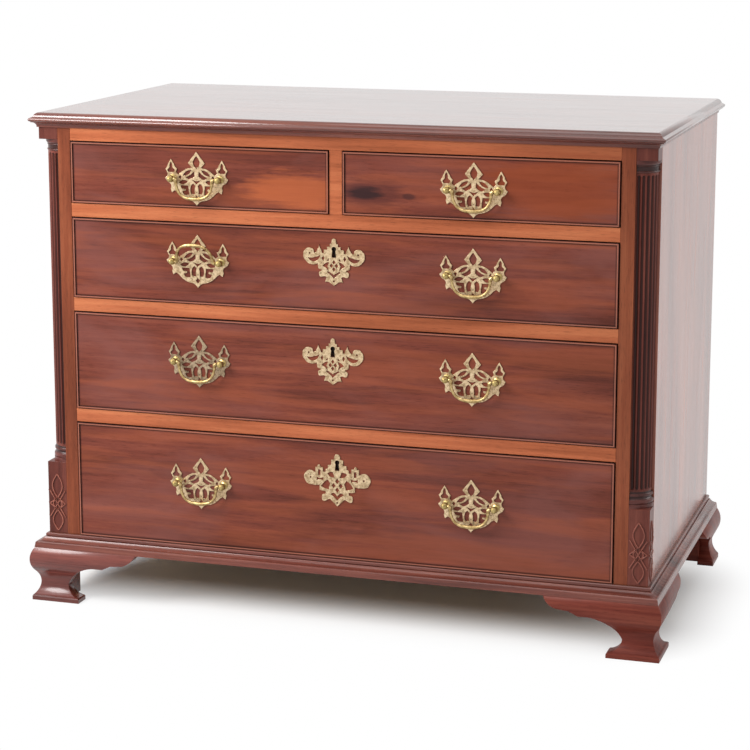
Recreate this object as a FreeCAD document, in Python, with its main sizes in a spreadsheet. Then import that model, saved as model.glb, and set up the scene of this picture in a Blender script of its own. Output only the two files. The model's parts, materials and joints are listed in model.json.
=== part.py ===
import FreeCAD, Part

import math
import os
import re

import Sketcher
from FreeCAD import Placement, Rotation, Vector

# A George III mahogany chest of two short and three long drawers, with fluted quarter
# columns let into its front corners, on ogee bracket feet. Millimetres. +X is the right
# hand of someone facing the drawers, -Y is the front and +Z is up. The origin is on the
# floor, in the middle of the space that the whole chest takes up.

SIZES = {
    # The case
    "case_width": 1059,
    "case_depth": 588,
    "side_thickness": 20,
    "back_thickness": 12,
    "back_rebate": 8,
    "back_board_count": 4,
    "corner_recess": 34.5,
    "stile_width": 23,
    "rail_depth": 60,
    "rail_height": 23.5,
    "top_rail_height": 21.5,
    "divider_width": 21.5,
    "dustboard_thickness": 10,
    "guide_height": 16,
    "stop_size": 12,
    "stop_height": 6,
    # Heights of the drawer openings, which grow downwards
    "short_opening": 106,
    "upper_opening": 139,
    "middle_opening": 171,
    "lower_opening": 203.5,
    # The top board and its moulded edge
    "top_thickness": 15,
    "top_overhang": 13.5,
    "edge_depth": 14,
    "ovolo_depth": 7.5,
    "ovolo_drop": 7,
    "nose_drop": 9.5,
    "nose_under": 3,
    # The cavetto planted under the top
    "bed_height": 9.5,
    "bed_projection": 10,
    "bed_fillet": 2.5,
    # The moulding planted round the bottom
    "base_height": 23.5,
    "base_projection": 20.5,
    "base_bead": 5,
    "base_quirk": 6.5,
    "base_fillet": 9,
    "base_step": 1.5,
    # The quarter columns with their blocks
    "column_radius": 30.5,
    "flute_radius": 2.8,
    "flute_count": 6,
    "plinth_height": 128,
    "column_base_height": 27,
    "capital_height": 20,
    "frieze_height": 20.5,
    "ring_inset": 0.5,
    # The ogee bracket feet
    "foot_height": 94.5,
    "foot_reach": 169,
    "foot_swell": 28,
    "foot_top_projection": 20,
    "foot_set_back": 4,
    "ogee_turn": 52,
    "ogee_turn_projection": 20,
    "pad_projection": 25,
    "pad_height": 8.5,
    "pad_inset": 63,
    "pad_chamfer": 2,
    "ankle_inset": 38.5,
    "ankle_height": 30,
    "glue_block_size": 34,
    "glue_block_lift": 3,
    "bracket_length": 125,
    "bracket_thickness": 18,
    # The drawers
    "drawer_gap": 1.5,
    "runner_gap": 0.3,
    "front_lift": 1,
    "front_thickness": 20,
    "drawer_back_gap": 31,
    "drawer_side_thickness": 9,
    "drawer_side_drop": 12,
    "drawer_back_drop": 8,
    "bottom_rise": 9,
    "bottom_thickness": 7,
    "cockbead_thickness": 3,
    "cockbead_depth": 6,
    "cockbead_projection": 2.2,
    # The pierced brass handles
    "handle_left": 243,
    "handle_right": 233,
    "plate_width": 112,
    "plate_height": 90,
    "plate_thickness": 1.6,
    "post_spacing": 84,
    "post_reach": 14,
    "post_width": 11,
    "post_chamfer": 2.5,
    "shank_size": 5,
    "shank_clearance": 0.3,
    "bail_spread": 64,
    "bail_drop": 32.5,
    "bail_corner": 18,
    "bail_radius": 2.9,
    "pin_radius": 2,
    "pin_clearance": 0.1,
    "pin_setback": 1,
    "raised_bail_angle": 160,
    # Heights of the brasses above the floors of the drawer openings
    "short_handle_rise": 50,
    "upper_handle_rise": 73.5,
    "middle_handle_rise": 96.5,
    "lower_handle_rise": 111,
    # The locks and their escutcheons
    "escutcheon_thickness": 1.5,
    "scrolled_width": 105.5,
    "scrolled_height": 78.5,
    "eared_width": 113.5,
    "eared_height": 89.5,
    "upper_keyhole_drop": 38.5,
    "middle_keyhole_drop": 43,
    "lower_keyhole_drop": 42,
    "upper_keyhole_offset": -3,
    "middle_keyhole_offset": -5.5,
    "lower_keyhole_offset": 1.5,
    "keyhole_radius": 3.4,
    "keyhole_length": 16.5,
    "lock_width": 58,
    "lock_height": 52,
    "lock_depth": 12,
    "bolt_width": 22,
    "bolt_height": 20,
    "bolt_depth": 5,
    "bolt_travel": 8,
    "bolt_clearance": 0.3,
    "mortise_clearance": 1,
    # How far a cutting tool runs on past what it cuts
    "cut_over": 1,
}

doc = FreeCAD.newDocument("Chest")
sheet = doc.addObject("Spreadsheet::Sheet", "Dims")
nodes = []


def fill_sheet():
    for row, (alias, size) in enumerate(SIZES.items(), start=1):
        sheet.set(f"A{row}", alias)
        sheet.set(f"B{row}", str(size))
        sheet.setAlias(f"B{row}", alias)
    doc.recompute()


def formula(text):
    """Points each size named in a formula at its cell of the sheet."""
    return re.sub(r"[a-z]+(?:_[a-z]+)+", lambda word: "Dims." + word.group(), text)


def value(text):
    """The number that a formula of named sizes comes to."""
    return float(sheet.evalExpression(formula(text)))


# The reference lines that the pieces share. Depths count from the front face of the case.
CASE_FRONT = "(foot_swell - case_depth) / 2"
CASE_SIDE = "(case_width / 2)"
SIDE_INSIDE = "(case_width / 2 - side_thickness)"
COLUMN_SIDE = "(case_width / 2 - corner_recess)"
OPENING_SIDE = "(case_width / 2 - corner_recess - stile_width)"
BACK_INSIDE = "(case_depth - back_thickness)"
CASE_FLOOR = "(foot_height + base_height)"
DRAWER_BACK = "(case_depth - back_thickness - drawer_back_gap)"


def stack_rows():
    """Floor and top of each drawer opening, from the bottom up, with a rail between."""
    rows = {}
    floor = CASE_FLOOR
    for row in ("lower", "middle", "upper", "short"):
        top = f"({floor} + {row}_opening)"
        rows[row] = (floor, top)
        floor = f"({top} + rail_height)"
    return rows


ROWS = stack_rows()
CASE_TOP = f"({ROWS['short'][1]} + top_rail_height)"
BOARD_UNDER = f"({CASE_TOP} + bed_height)"
BOARD_TOP = f"({BOARD_UNDER} + top_thickness)"


# ---------------------------------------------------------------- helpers


def bind(piece, path, text):
    piece.setExpression(path, formula(text))


def place(piece, across, back, up):
    """Puts a piece at a distance across, behind the case's front face and above the floor."""
    bind(piece, "Placement.Base.x", across)
    bind(piece, "Placement.Base.y", f"{CASE_FRONT} + ({back})")
    bind(piece, "Placement.Base.z", up)


def board(name, left, right, front, back, bottom, top):
    """A plain board between six named limits."""
    box = doc.addObject("Part::Box", name)
    bind(box, "Length", f"({right}) - ({left})")
    bind(box, "Width", f"({back}) - ({front})")
    bind(box, "Height", f"({top}) - ({bottom})")
    place(box, left, front, bottom)
    return box


def cut(name, base, tool):
    result = doc.addObject("Part::Cut", name)
    result.Base = base
    result.Tool = tool
    return result


def mirrored(piece, name):
    """The left-hand twin of a right-hand piece."""
    twin = doc.addObject("Part::Mirroring", name)
    twin.Source = piece
    twin.Normal = Vector(1, 0, 0)
    return twin


def node(label, *pieces):
    """Keeps pieces as one named group of separate solids."""
    group = doc.addObject("Part::Compound", label)
    group.Links = list(pieces)
    nodes.append(group)
    return group


def shaped(label, shape, across="0", back="0", up="0"):
    """A node whose shape is worked out with Part's own functions."""
    piece = doc.addObject("Part::Feature", label)
    piece.Shape = shape
    place(piece, across, back, up)
    nodes.append(piece)
    return piece


def draw(sketch, corners):
    """Draws a closed loop. A corner is (across, up) or (across, up, bulge): a bulge makes the
    side that starts there an arc, swelling to the right of its travel if positive."""
    points = [Vector(value(corner[0]), value(corner[1]), 0) for corner in corners]
    sides = []
    for index, corner in enumerate(corners):
        start = points[index]
        end = points[(index + 1) % len(points)]
        bulge = corner[2] if len(corner) > 2 else 0
        if bulge == 0:
            side = sketch.addGeometry(Part.LineSegment(start, end), False)
            sides.append((side, 1, 2))
            continue
        chord = end - start
        middle = (start + end) * 0.5 + Vector(chord.y, -chord.x, 0) * (bulge / 2)
        if bulge > 0:
            side = sketch.addGeometry(Part.Arc(start, middle, end), False)
            sides.append((side, 1, 2))
        else:
            side = sketch.addGeometry(Part.Arc(end, middle, start), False)
            sides.append((side, 2, 1))
        radius = chord.Length * (1 + bulge * bulge) / (4 * abs(bulge))
        sketch.addConstraint(Sketcher.Constraint("Radius", side, radius))
    for index, corner in enumerate(corners):
        before, _, before_end = sides[index - 1]
        side, side_start, _ = sides[index]
        sketch.addConstraint(
            Sketcher.Constraint("Coincident", before, before_end, side, side_start)
        )
        for kind, text, size in (
            ("DistanceX", corner[0], points[index].x),
            ("DistanceY", corner[1], points[index].y),
        ):
            number = sketch.addConstraint(
                Sketcher.Constraint(kind, -1, 1, side, side_start, size)
            )
            bind(sketch, f"Constraints[{number}]", text)


def sketch_on(body, plane, name, *loops):
    """A sketch of closed loops on one of the body's own origin planes."""
    sketch = body.newObject("Sketcher::SketchObject", name)
    support = next(item for item in body.Origin.OriginFeatures if item.Role == plane)
    sketch.AttachmentSupport = (support, [""])
    sketch.MapMode = "FlatFace"
    for loop in loops:
        draw(sketch, loop)
    return sketch


def pad(body, sketch, length, behind=None, both_ways=False):
    """Pads a sketch along its normal, and behind it too where a second length is given."""
    feature = body.newObject("PartDesign::Pad", f"{sketch.Name}_pad")
    feature.Profile = sketch
    bind(feature, "Length", length)
    if both_ways:
        feature.SideType = "Symmetric"
    elif behind:
        feature.SideType = "Two sides"
        bind(feature, "Length2", behind)
    doc.recompute()
    return feature


def pocket(body, sketch, depth=None):
    """Cuts a sketch right through the body both ways, or to a depth against its normal."""
    before = body.Shape.Volume
    feature = body.newObject("PartDesign::Pocket", f"{sketch.Name}_pocket")
    feature.Profile = sketch
    if depth:
        bind(feature, "Length", depth)
    else:
        feature.Type = "ThroughAll"
        feature.SideType = "Symmetric"
    doc.recompute()
    if body.Shape.Volume >= before:
        raise RuntimeError(f"{sketch.Name} cuts nothing")
    return feature


def rectangle(left, right, bottom, top):
    return [(left, bottom), (right, bottom), (right, top), (left, top)]


# ---------------------------------------------------------------- the case


def make_top_board():
    """The top, its edge moulded along the front and both ends: an ovolo over a nosing. The
    board is what two moulded lengths have in common, one run along X and one along Y."""
    edge = [
        ("nose_under", BOARD_UNDER, 0.6),
        ("nose_under / 3", f"{BOARD_TOP} - nose_drop"),
        ("edge_depth - ovolo_depth", f"{BOARD_TOP} - ovolo_drop", 0.3),
        ("edge_depth", BOARD_TOP),
    ]
    tip = "(case_width / 2 + top_overhang)"
    along = doc.addObject("PartDesign::Body", "top_run_along")
    front_edge = [(f"{inward} - top_overhang", up, -bulge) for inward, up, bulge in closed(edge)]
    profile = front_edge + [("case_depth", BOARD_TOP), ("case_depth", BOARD_UNDER)]
    pad(along, sketch_on(along, "YZ_Plane", "top_front_edge", profile), f"2 * {tip}", both_ways=True)
    place(along, "0", "0", "0")
    across = doc.addObject("PartDesign::Body", "top_run_across")
    right = [(f"{tip} - ({inward})", up, bulge) for inward, up, bulge in closed(edge)]
    left = [(f"({inward}) - {tip}", up) for inward, up, _ in reversed(closed(edge))]
    left_bulges = [bulge for _, _, bulge in reversed(closed(edge))][1:] + [0]
    left = [(*corner, bulge) for corner, bulge in zip(left, left_bulges)]
    pad(
        across,
        sketch_on(across, "XZ_Plane", "top_side_edges", right + left),
        "top_overhang",
        behind="case_depth",
    )
    place(across, "0", "0", "0")
    top = doc.addObject("Part::Common", "top_board")
    top.Base = along
    top.Tool = across
    nodes.append(top)


def closed(profile):
    """The corners of a profile, each with a bulge."""
    return [corner if len(corner) > 2 else (*corner, 0) for corner in profile]


def make_planted_moulding(label, profile, projection):
    """Three mitred lengths round the front and sides of the case. The profile's corners are
    (distance out from the case, height, bulge), as seen on the right side."""
    reach = f"({projection} + cut_over)"
    front = doc.addObject("PartDesign::Body", f"{label}_front")
    face = [(f"-({out})", up, -bulge) for out, up, bulge in closed(profile)]
    pad(
        front,
        sketch_on(front, "YZ_Plane", f"{label}_front_profile", face),
        f"case_width + 2 * {projection}",
        both_ways=True,
    )
    mitres = [
        [(f"{hand}{CASE_SIDE}", "0"), (f"{hand}({CASE_SIDE} + {reach})", f"-{reach}"),
         (f"{hand}({CASE_SIDE} + {reach})", "0")]
        for hand in ("", "-")
    ]
    pocket(front, sketch_on(front, "XY_Plane", f"{label}_front_mitres", *mitres))
    place(front, "0", "0", "0")
    side = doc.addObject("PartDesign::Body", f"{label}_right")
    flank = [(f"{CASE_SIDE} + {out}", up, bulge) for out, up, bulge in closed(profile)]
    pad(
        side,
        sketch_on(side, "XZ_Plane", f"{label}_side_profile", flank),
        projection,
        behind="case_depth",
    )
    mitre = [(CASE_SIDE, "0"), (CASE_SIDE, f"-{reach}"), (f"{CASE_SIDE} + {reach}", f"-{reach}")]
    pocket(side, sketch_on(side, "XY_Plane", f"{label}_side_mitre", mitre))
    place(side, "0", "0", "0")
    node(label, front, side, mirrored(side, f"{label}_left"))


def make_mouldings():
    make_planted_moulding(
        "bed_moulding",
        [
            ("0", CASE_TOP),
            ("bed_fillet", CASE_TOP),
            ("bed_fillet", f"{CASE_TOP} + bed_fillet", -0.35),
            ("bed_projection", f"{BOARD_UNDER} - bed_fillet / 2"),
            ("bed_projection", BOARD_UNDER),
            ("0", BOARD_UNDER),
        ],
        "bed_projection",
    )
    make_planted_moulding(
        "base_moulding",
        [
            ("0", "foot_height"),
            ("base_projection", "foot_height"),
            ("base_projection - base_step", "foot_height + base_fillet"),
            ("base_projection - 2 * base_step", "foot_height + base_fillet + base_step", -0.3),
            ("base_bead + base_step", f"{CASE_FLOOR} - base_quirk"),
            ("base_bead - base_step", f"{CASE_FLOOR} - base_quirk"),
            ("base_bead", f"{CASE_FLOOR} - base_quirk + base_step"),
            ("base_bead", f"{CASE_FLOOR} - base_step"),
            ("base_bead - base_step", CASE_FLOOR),
            ("0", CASE_FLOOR),
        ],
        "base_projection",
    )


def make_shell():
    """Sides, bottom and back boards."""
    plank = board("side_plank", SIDE_INSIDE, CASE_SIDE, "corner_recess", "case_depth",
                  CASE_FLOOR, BOARD_UNDER)
    rebate = board("side_rebate", SIDE_INSIDE, f"{SIDE_INSIDE} + back_rebate", BACK_INSIDE,
                   "case_depth", CASE_FLOOR, BOARD_UNDER)
    side = cut("side_right", plank, rebate)
    nodes.append(side)
    nodes.append(mirrored(side, "side_left"))
    nodes.append(board("bottom_board", f"-{CASE_SIDE}", CASE_SIDE, "0", "case_depth",
                       "foot_height", CASE_FLOOR))
    half_back = f"({SIDE_INSIDE} + back_rebate)"
    width = f"(2 * {half_back} / back_board_count)"
    planks = [
        board(f"back_plank_{index + 1}", f"{index} * {width} - {half_back}",
              f"{index + 1} * {width} - {half_back}", BACK_INSIDE, "case_depth",
              CASE_FLOOR, BOARD_UNDER)
        for index in range(int(SIZES["back_board_count"]))
    ]
    node("back_boards", *planks)


def make_front_frame():
    """Corner stiles, rails between the drawers, and the divider of the short drawers."""
    stile = doc.addObject("PartDesign::Body", "stile_right")
    section = [
        (OPENING_SIDE, "0"),
        (COLUMN_SIDE, "0"),
        (COLUMN_SIDE, "corner_recess"),
        (SIDE_INSIDE, "corner_recess"),
        (SIDE_INSIDE, "rail_depth"),
        (OPENING_SIDE, "rail_depth"),
    ]
    pad(stile, sketch_on(stile, "XY_Plane", "stile_section", section),
        f"{BOARD_UNDER} - {CASE_FLOOR}")
    place(stile, "0", "0", CASE_FLOOR)
    node("stiles", stile, mirrored(stile, "stile_left"))
    nodes.append(board("top_rail", f"-{OPENING_SIDE}", OPENING_SIDE, "0", "rail_depth",
                       ROWS["short"][1], BOARD_UNDER))
    rails = [make_rail(row) for row in ("lower", "middle", "upper")]
    node("drawer_rails", *rails)
    nodes.append(board("centre_divider", "-divider_width / 2", "divider_width / 2", "0",
                       "rail_depth", *ROWS["short"]))


def make_rail(row):
    """The rail over a long drawer, with a mortise underneath for the bolt of its lock."""
    under = ROWS[row][1]
    rail = board(f"{row}_rail_blank", f"-{OPENING_SIDE}", OPENING_SIDE, "0", "rail_depth",
                 under, f"{under} + rail_height")
    half = "(bolt_width / 2 + mortise_clearance)"
    mortise = board(
        f"{row}_rail_mortise", f"-{half}", half,
        f"{BOLT_FRONT} - mortise_clearance",
        f"{BOLT_FRONT} + bolt_depth + mortise_clearance",
        f"{under} - mortise_clearance", f"{under} + bolt_travel",
    )
    return cut(f"{row}_rail", rail, mortise)


def make_drawer_runs():
    """Dustboards that the drawers run on, the guides beside them and the stops in front."""
    shelves = [
        board(f"{row}_dustboard", f"-{SIDE_INSIDE}", SIDE_INSIDE, "rail_depth", BACK_INSIDE,
              f"{ROWS[row][0]} - dustboard_thickness", ROWS[row][0])
        for row in ("middle", "upper", "short")
    ]
    node("dustboards", *shelves)
    guides = []
    for row, (floor, _) in ROWS.items():
        strip = board(f"{row}_guide_right", OPENING_SIDE, SIDE_INSIDE, "rail_depth",
                      BACK_INSIDE, floor, f"{floor} + guide_height")
        guides += [strip, mirrored(strip, f"{row}_guide_left")]
    floor = ROWS["short"][0]
    guides.append(board("centre_guide", "-divider_width / 2", "divider_width / 2",
                        "rail_depth", BACK_INSIDE, floor, f"{floor} + guide_height"))
    for row, (floor, _) in ROWS.items():
        stop = board(f"{row}_stop_right", f"{OPENING_SIDE} / 2",
                     f"{OPENING_SIDE} / 2 + 3 * stop_size", "front_thickness + runner_gap",
                     "front_thickness + runner_gap + stop_size", floor,
                     f"{floor} + stop_height")
        guides += [stop, mirrored(stop, f"{row}_stop_left")]
    node("drawer_guides", *guides)


# ---------------------------------------------------------------- the corner columns


def make_columns():
    """A fluted quarter column in each front corner, standing on a square plinth block,
    with turned rings at both ends and a plain block over it."""
    shaft_foot = f"({CASE_FLOOR} + plinth_height + column_base_height)"
    shaft_head = f"({CASE_TOP} - frieze_height - capital_height)"
    shaft = doc.addObject("PartDesign::Body", "column_shaft_right")
    quarter = [("0", "0"), ("0", "-column_radius", math.tan(math.pi / 8)), ("column_radius", "0")]
    pad(shaft, sketch_on(shaft, "XY_Plane", "column_section", quarter),
        f"{shaft_head} - {shaft_foot}")
    step = 90 / SIZES["flute_count"]
    flute = sketch_on(shaft, "XY_Plane", "flute_section", [
        ("-flute_radius", "-column_radius - cut_over"),
        ("flute_radius", "-column_radius - cut_over"),
        ("flute_radius", "0.2 * flute_radius - column_radius"),
        ("0.5 * flute_radius", "0.9 * flute_radius - column_radius"),
        ("-0.5 * flute_radius", "0.9 * flute_radius - column_radius"),
        ("-flute_radius", "0.2 * flute_radius - column_radius"),
    ])
    flute.AttachmentOffset = Placement(Vector(), Rotation(Vector(0, 0, 1), step / 2))
    groove = pocket(shaft, flute)
    pattern = shaft.newObject("PartDesign::PolarPattern", "flutes")
    pattern.Originals = [groove]
    axis = next(item for item in shaft.Origin.OriginFeatures if item.Role == "Z_Axis")
    pattern.Axis = (axis, [""])
    pattern.Angle = 90 - step
    shaft.Tip = pattern
    bind(pattern, "Occurrences", "flute_count")
    doc.recompute()
    place(shaft, COLUMN_SIDE, "corner_recess", shaft_foot)
    nodes.append(shaft)
    nodes.append(mirrored(shaft, "column_shaft_left"))
    capital = make_ring_stack("capital_right", "capital_height", [
        (0, 0), (0.3, 0.07), (0.1, 0.16), (0.1, 0.45), (0.45, 0.6), (1, 0.7), (1, 1),
    ])
    place(capital, COLUMN_SIDE, "corner_recess", shaft_head)
    node("column_capitals", capital, mirrored(capital, "capital_left"))
    base = make_ring_stack("column_base_right", "column_base_height", [
        (1, 0), (1, 0.26), (0.7, 0.3), (1, 0.41), (0.7, 0.52), (0.2, 0.6), (0.2, 0.72),
        (0.5, 0.82), (0.2, 0.92), (0, 1),
    ])
    place(base, COLUMN_SIDE, "corner_recess", f"{CASE_FLOOR} + plinth_height")
    node("column_bases", base, mirrored(base, "column_base_left"))
    for label, low, high in (
        ("plinth_blocks", CASE_FLOOR, f"{CASE_FLOOR} + plinth_height"),
        ("frieze_blocks", f"{CASE_TOP} - frieze_height", BOARD_UNDER),
    ):
        block = board(f"{label}_right", COLUMN_SIDE, CASE_SIDE, "0", "corner_recess", low, high)
        node(label, block, mirrored(block, f"{label}_left"))


def make_ring_stack(name, height, rings):
    """A quarter turn of a turned profile, from the side of the case round to its front. The
    rings are (share of the way out from the shaft's face to the block's, share of the height)."""
    reach = "(corner_recess - ring_inset - column_radius)"
    profile = [("0", "0")]
    profile += [(f"column_radius + {out} * {reach}", f"{up} * {height}") for out, up in rings]
    profile += [("0", height)]
    body = doc.addObject("PartDesign::Body", name)
    turned = body.newObject("PartDesign::Revolution", f"{name}_turning")
    turned.Profile = sketch_on(body, "XZ_Plane", f"{name}_profile", profile)
    axis = next(item for item in body.Origin.OriginFeatures if item.Role == "Z_Axis")
    turned.ReferenceAxis = (axis, [""])
    turned.Angle = 90
    turned.Reversed = True
    doc.recompute()
    return body


# ---------------------------------------------------------------- the feet


def ogee_section():
    """The foot's ogee face, as (distance out from the case, height, bulge), with a flat back."""
    return [
        ("-foot_set_back", "foot_height"),
        ("-foot_set_back", "0"),
        ("pad_projection", "0"),
        ("pad_projection", "pad_height - pad_chamfer"),
        ("pad_projection - pad_chamfer / 2", "pad_height", -0.42),
        ("ogee_turn_projection", "ogee_turn", 0.35),
        ("foot_top_projection", "foot_height"),
    ]


def bracket_outline():
    """What is sawn away under a foot's wing, as (distance from the corner, height, bulge),
    from the wing's tip along its cusps to the ankle and the pad."""
    return [
        ("foot_reach", "foot_height", 0.25),
        ("0.86 * foot_reach", "0.8 * foot_height"),
        ("0.74 * foot_reach", "0.78 * foot_height"),
        ("0.65 * foot_reach", "0.7 * foot_height"),
        ("0.54 * foot_reach", "0.7 * foot_height", -0.25),
        ("ankle_inset", "ankle_height", -0.35),
        ("pad_inset - pad_chamfer", "pad_height"),
        ("pad_inset", "pad_height - pad_chamfer"),
        ("pad_inset", "-cut_over"),
        ("foot_reach + cut_over", "-cut_over"),
        ("foot_reach + cut_over", "foot_height"),
    ]


def make_front_foot():
    """Two ogee facings mitred at the corner, backed by a glue block."""
    swell = "(foot_swell + cut_over)"
    set_back = "(foot_set_back + cut_over)"
    front = doc.addObject("PartDesign::Body", "front_foot_facing")
    section = [(f"-({out})", up, -bulge) for out, up, bulge in closed(ogee_section())]
    pad(front, sketch_on(front, "YZ_Plane", "front_facing_section", section),
        "foot_swell", behind="foot_reach")
    outline = [(f"-({away})", up, bulge) for away, up, bulge in closed(bracket_outline())]
    pocket(front, sketch_on(front, "XZ_Plane", "front_facing_outline", outline))
    mitre = [(f"-{set_back}", set_back), (swell, f"-{swell}"), (swell, set_back)]
    pocket(front, sketch_on(front, "XY_Plane", "front_facing_mitre", mitre))
    place(front, CASE_SIDE, "0", "0")
    side = doc.addObject("PartDesign::Body", "front_foot_side_facing")
    pad(side, sketch_on(side, "XZ_Plane", "side_facing_section", closed(ogee_section())),
        "foot_swell", behind="foot_reach")
    outline = [(away, up, -bulge) for away, up, bulge in closed(bracket_outline())]
    pocket(side, sketch_on(side, "YZ_Plane", "side_facing_outline", outline))
    mitre = [(f"-{set_back}", set_back), (f"-{set_back}", f"-{swell}"), (swell, f"-{swell}")]
    pocket(side, sketch_on(side, "XY_Plane", "side_facing_mitre", mitre))
    place(side, CASE_SIDE, "0", "0")
    inside = f"({CASE_SIDE} - foot_set_back)"
    block = board("front_foot_glue_block", f"{inside} - glue_block_size", inside,
                  "foot_set_back", "foot_set_back + glue_block_size", "glue_block_lift",
                  "foot_height")
    right = node("foot_front_right", front, side, block)
    nodes.append(mirrored(right, "foot_front_left"))


def make_rear_foot():
    """An ogee facing on the side, a plain sawn bracket across the back and a glue block."""
    side = doc.addObject("PartDesign::Body", "rear_foot_facing")
    pad(side, sketch_on(side, "XZ_Plane", "rear_facing_section", closed(ogee_section())),
        "foot_reach")
    outline = [(f"-({away})", up, bulge) for away, up, bulge in closed(bracket_outline())]
    pocket(side, sketch_on(side, "YZ_Plane", "rear_facing_outline", outline))
    place(side, CASE_SIDE, "case_depth", "0")
    bracket = doc.addObject("PartDesign::Body", "rear_foot_bracket")
    outline = [
        ("-foot_set_back", "0"),
        ("-foot_set_back", "foot_height"),
        ("-bracket_length", "foot_height"),
        ("-bracket_length", "0.81 * foot_height"),
        ("-0.6 * bracket_length", "0.68 * foot_height"),
        ("-foot_set_back - glue_block_size", "0"),
    ]
    pad(bracket, sketch_on(bracket, "XZ_Plane", "rear_bracket_outline", outline),
        "bracket_thickness")
    place(bracket, CASE_SIDE, "case_depth", "0")
    inside = f"({CASE_SIDE} - foot_set_back)"
    behind = "(case_depth - bracket_thickness)"
    block = board("rear_foot_glue_block", f"{inside} - glue_block_size", inside,
                  f"{behind} - glue_block_size", behind, "glue_block_lift", "foot_height")
    right = node("foot_rear_right", side, bracket, block)
    nodes.append(mirrored(right, "foot_rear_left"))


# ---------------------------------------------------------------- the drawers

DRAWERS = {
    "left_short": ("short", f"-{OPENING_SIDE}", "-divider_width / 2"),
    "right_short": ("short", "divider_width / 2", OPENING_SIDE),
    "upper_long": ("upper", f"-{OPENING_SIDE}", OPENING_SIDE),
    "middle_long": ("middle", f"-{OPENING_SIDE}", OPENING_SIDE),
    "lower_long": ("lower", f"-{OPENING_SIDE}", OPENING_SIDE),
}
HANDLE_PLACES = {
    "left_short": {"": "-handle_left"},
    "right_short": {"": "handle_right"},
    "upper_long": {"_left": "-handle_left", "_right": "handle_right"},
    "middle_long": {"_left": "-handle_left", "_right": "handle_right"},
    "lower_long": {"_left": "-handle_left", "_right": "handle_right"},
}
RAISED_BAIL = "upper_long_left"
LOCKED_DRAWERS = ("upper_long", "middle_long", "lower_long")
BOLT_FRONT = "(front_thickness - lock_depth / 2 - bolt_depth / 2)"


def make_drawer(name):
    row, left, right = DRAWERS[name]
    floor, ceiling = ROWS[row]
    left = f"({left} + drawer_gap)"
    right = f"({right} - drawer_gap)"
    low = f"({floor} + front_lift)"
    high = f"({ceiling} - drawer_gap)"
    make_drawer_front(name, left, right, low, high)
    make_drawer_box(name, left, right, floor, high)


def make_drawer_front(name, left, right, low, high):
    """The front board, rebated all round for its cockbead, pierced for the brasses and
    cut out behind for the lock. Its sketches lie in the plane at the back of the rebate."""
    row = DRAWERS[name][0]
    front = doc.addObject("PartDesign::Body", f"{name}_front_board")
    bead = "cockbead_thickness"
    panel = rectangle(f"{left} + {bead}", f"{right} - {bead}", f"{low} + {bead}", f"{high} - {bead}")
    full = rectangle(left, right, low, high)
    pad(front, sketch_on(front, "XZ_Plane", f"{name}_field", panel), "cockbead_depth")
    body_pad = pad(front, sketch_on(front, "XZ_Plane", f"{name}_body", full),
                   "front_thickness - cockbead_depth")
    body_pad.Reversed = True
    doc.recompute()
    half = "(shank_size / 2 + shank_clearance)"
    holes = []
    for place_across in HANDLE_PLACES[name].values():
        level = f"({ROWS[row][0]} + {row}_handle_rise)"
        for side in ("-", "+"):
            centre = f"({place_across} {side} post_spacing / 2)"
            holes.append(rectangle(f"{centre} - {half}", f"{centre} + {half}",
                                   f"{level} - {half}", f"{level} + {half}"))
    pocket(front, sketch_on(front, "XZ_Plane", f"{name}_post_holes", *holes))
    place(front, "0", "cockbead_depth", "0")
    if name in LOCKED_DRAWERS:
        board_piece = cut_for_lock(name, front, high)
    else:
        board_piece = front
    strips = [
        board(f"{name}_bead_top", left, right, "-cockbead_projection", "cockbead_depth",
              f"{high} - {bead}", high),
        board(f"{name}_bead_bottom", left, right, "-cockbead_projection", "cockbead_depth",
              low, f"{low} + {bead}"),
        board(f"{name}_bead_left", left, f"{left} + {bead}", "-cockbead_projection",
              "cockbead_depth", f"{low} + {bead}", f"{high} - {bead}"),
        board(f"{name}_bead_right", f"{right} - {bead}", right, "-cockbead_projection",
              "cockbead_depth", f"{low} + {bead}", f"{high} - {bead}"),
    ]
    node(f"{name}_front", board_piece, *strips)


def cut_for_lock(name, front, high):
    """Takes the lock's mortise and the keyhole out of a drawer front."""
    mortise = board(f"{name}_lock_mortise", "-lock_width / 2", "lock_width / 2",
                    "front_thickness - lock_depth", "front_thickness + cut_over",
                    f"{high} - lock_height", f"{high} + cut_over")
    row = DRAWERS[name][0]
    middle = f"({high} + drawer_gap - {row}_keyhole_drop)"
    across = f"{row}_keyhole_offset"
    keyway = board(f"{name}_keyway", f"{across} - keyhole_radius",
                   f"{across} + keyhole_radius", "-cut_over", "front_thickness",
                   f"{middle} - keyhole_length / 2", f"{middle} + keyhole_length / 2")
    return cut(f"{name}_front_cut", cut(f"{name}_front_morticed", front, mortise), keyway)


def make_drawer_box(name, left, right, floor, high):
    """Sides, back and bottom. The bottom edges of the sides are what the drawer runs on."""
    thick = "drawer_side_thickness"
    low = f"({floor} + runner_gap)"
    side_top = f"({high} - drawer_side_drop)"
    panel_top = f"({floor} + bottom_rise + bottom_thickness)"
    node(
        f"{name}_box",
        board(f"{name}_side_left", left, f"{left} + {thick}", "front_thickness",
              DRAWER_BACK, low, side_top),
        board(f"{name}_side_right", f"{right} - {thick}", right, "front_thickness",
              DRAWER_BACK, low, side_top),
        board(f"{name}_back", f"{left} + {thick}", f"{right} - {thick}",
              f"{DRAWER_BACK} - {thick}", DRAWER_BACK, panel_top,
              f"{side_top} - drawer_back_drop"),
    )
    nodes.append(
        board(f"{name}_bottom", f"{left} + {thick}", f"{right} - {thick}", "front_thickness",
              DRAWER_BACK, f"{floor} + bottom_rise", panel_top)
    )


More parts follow.
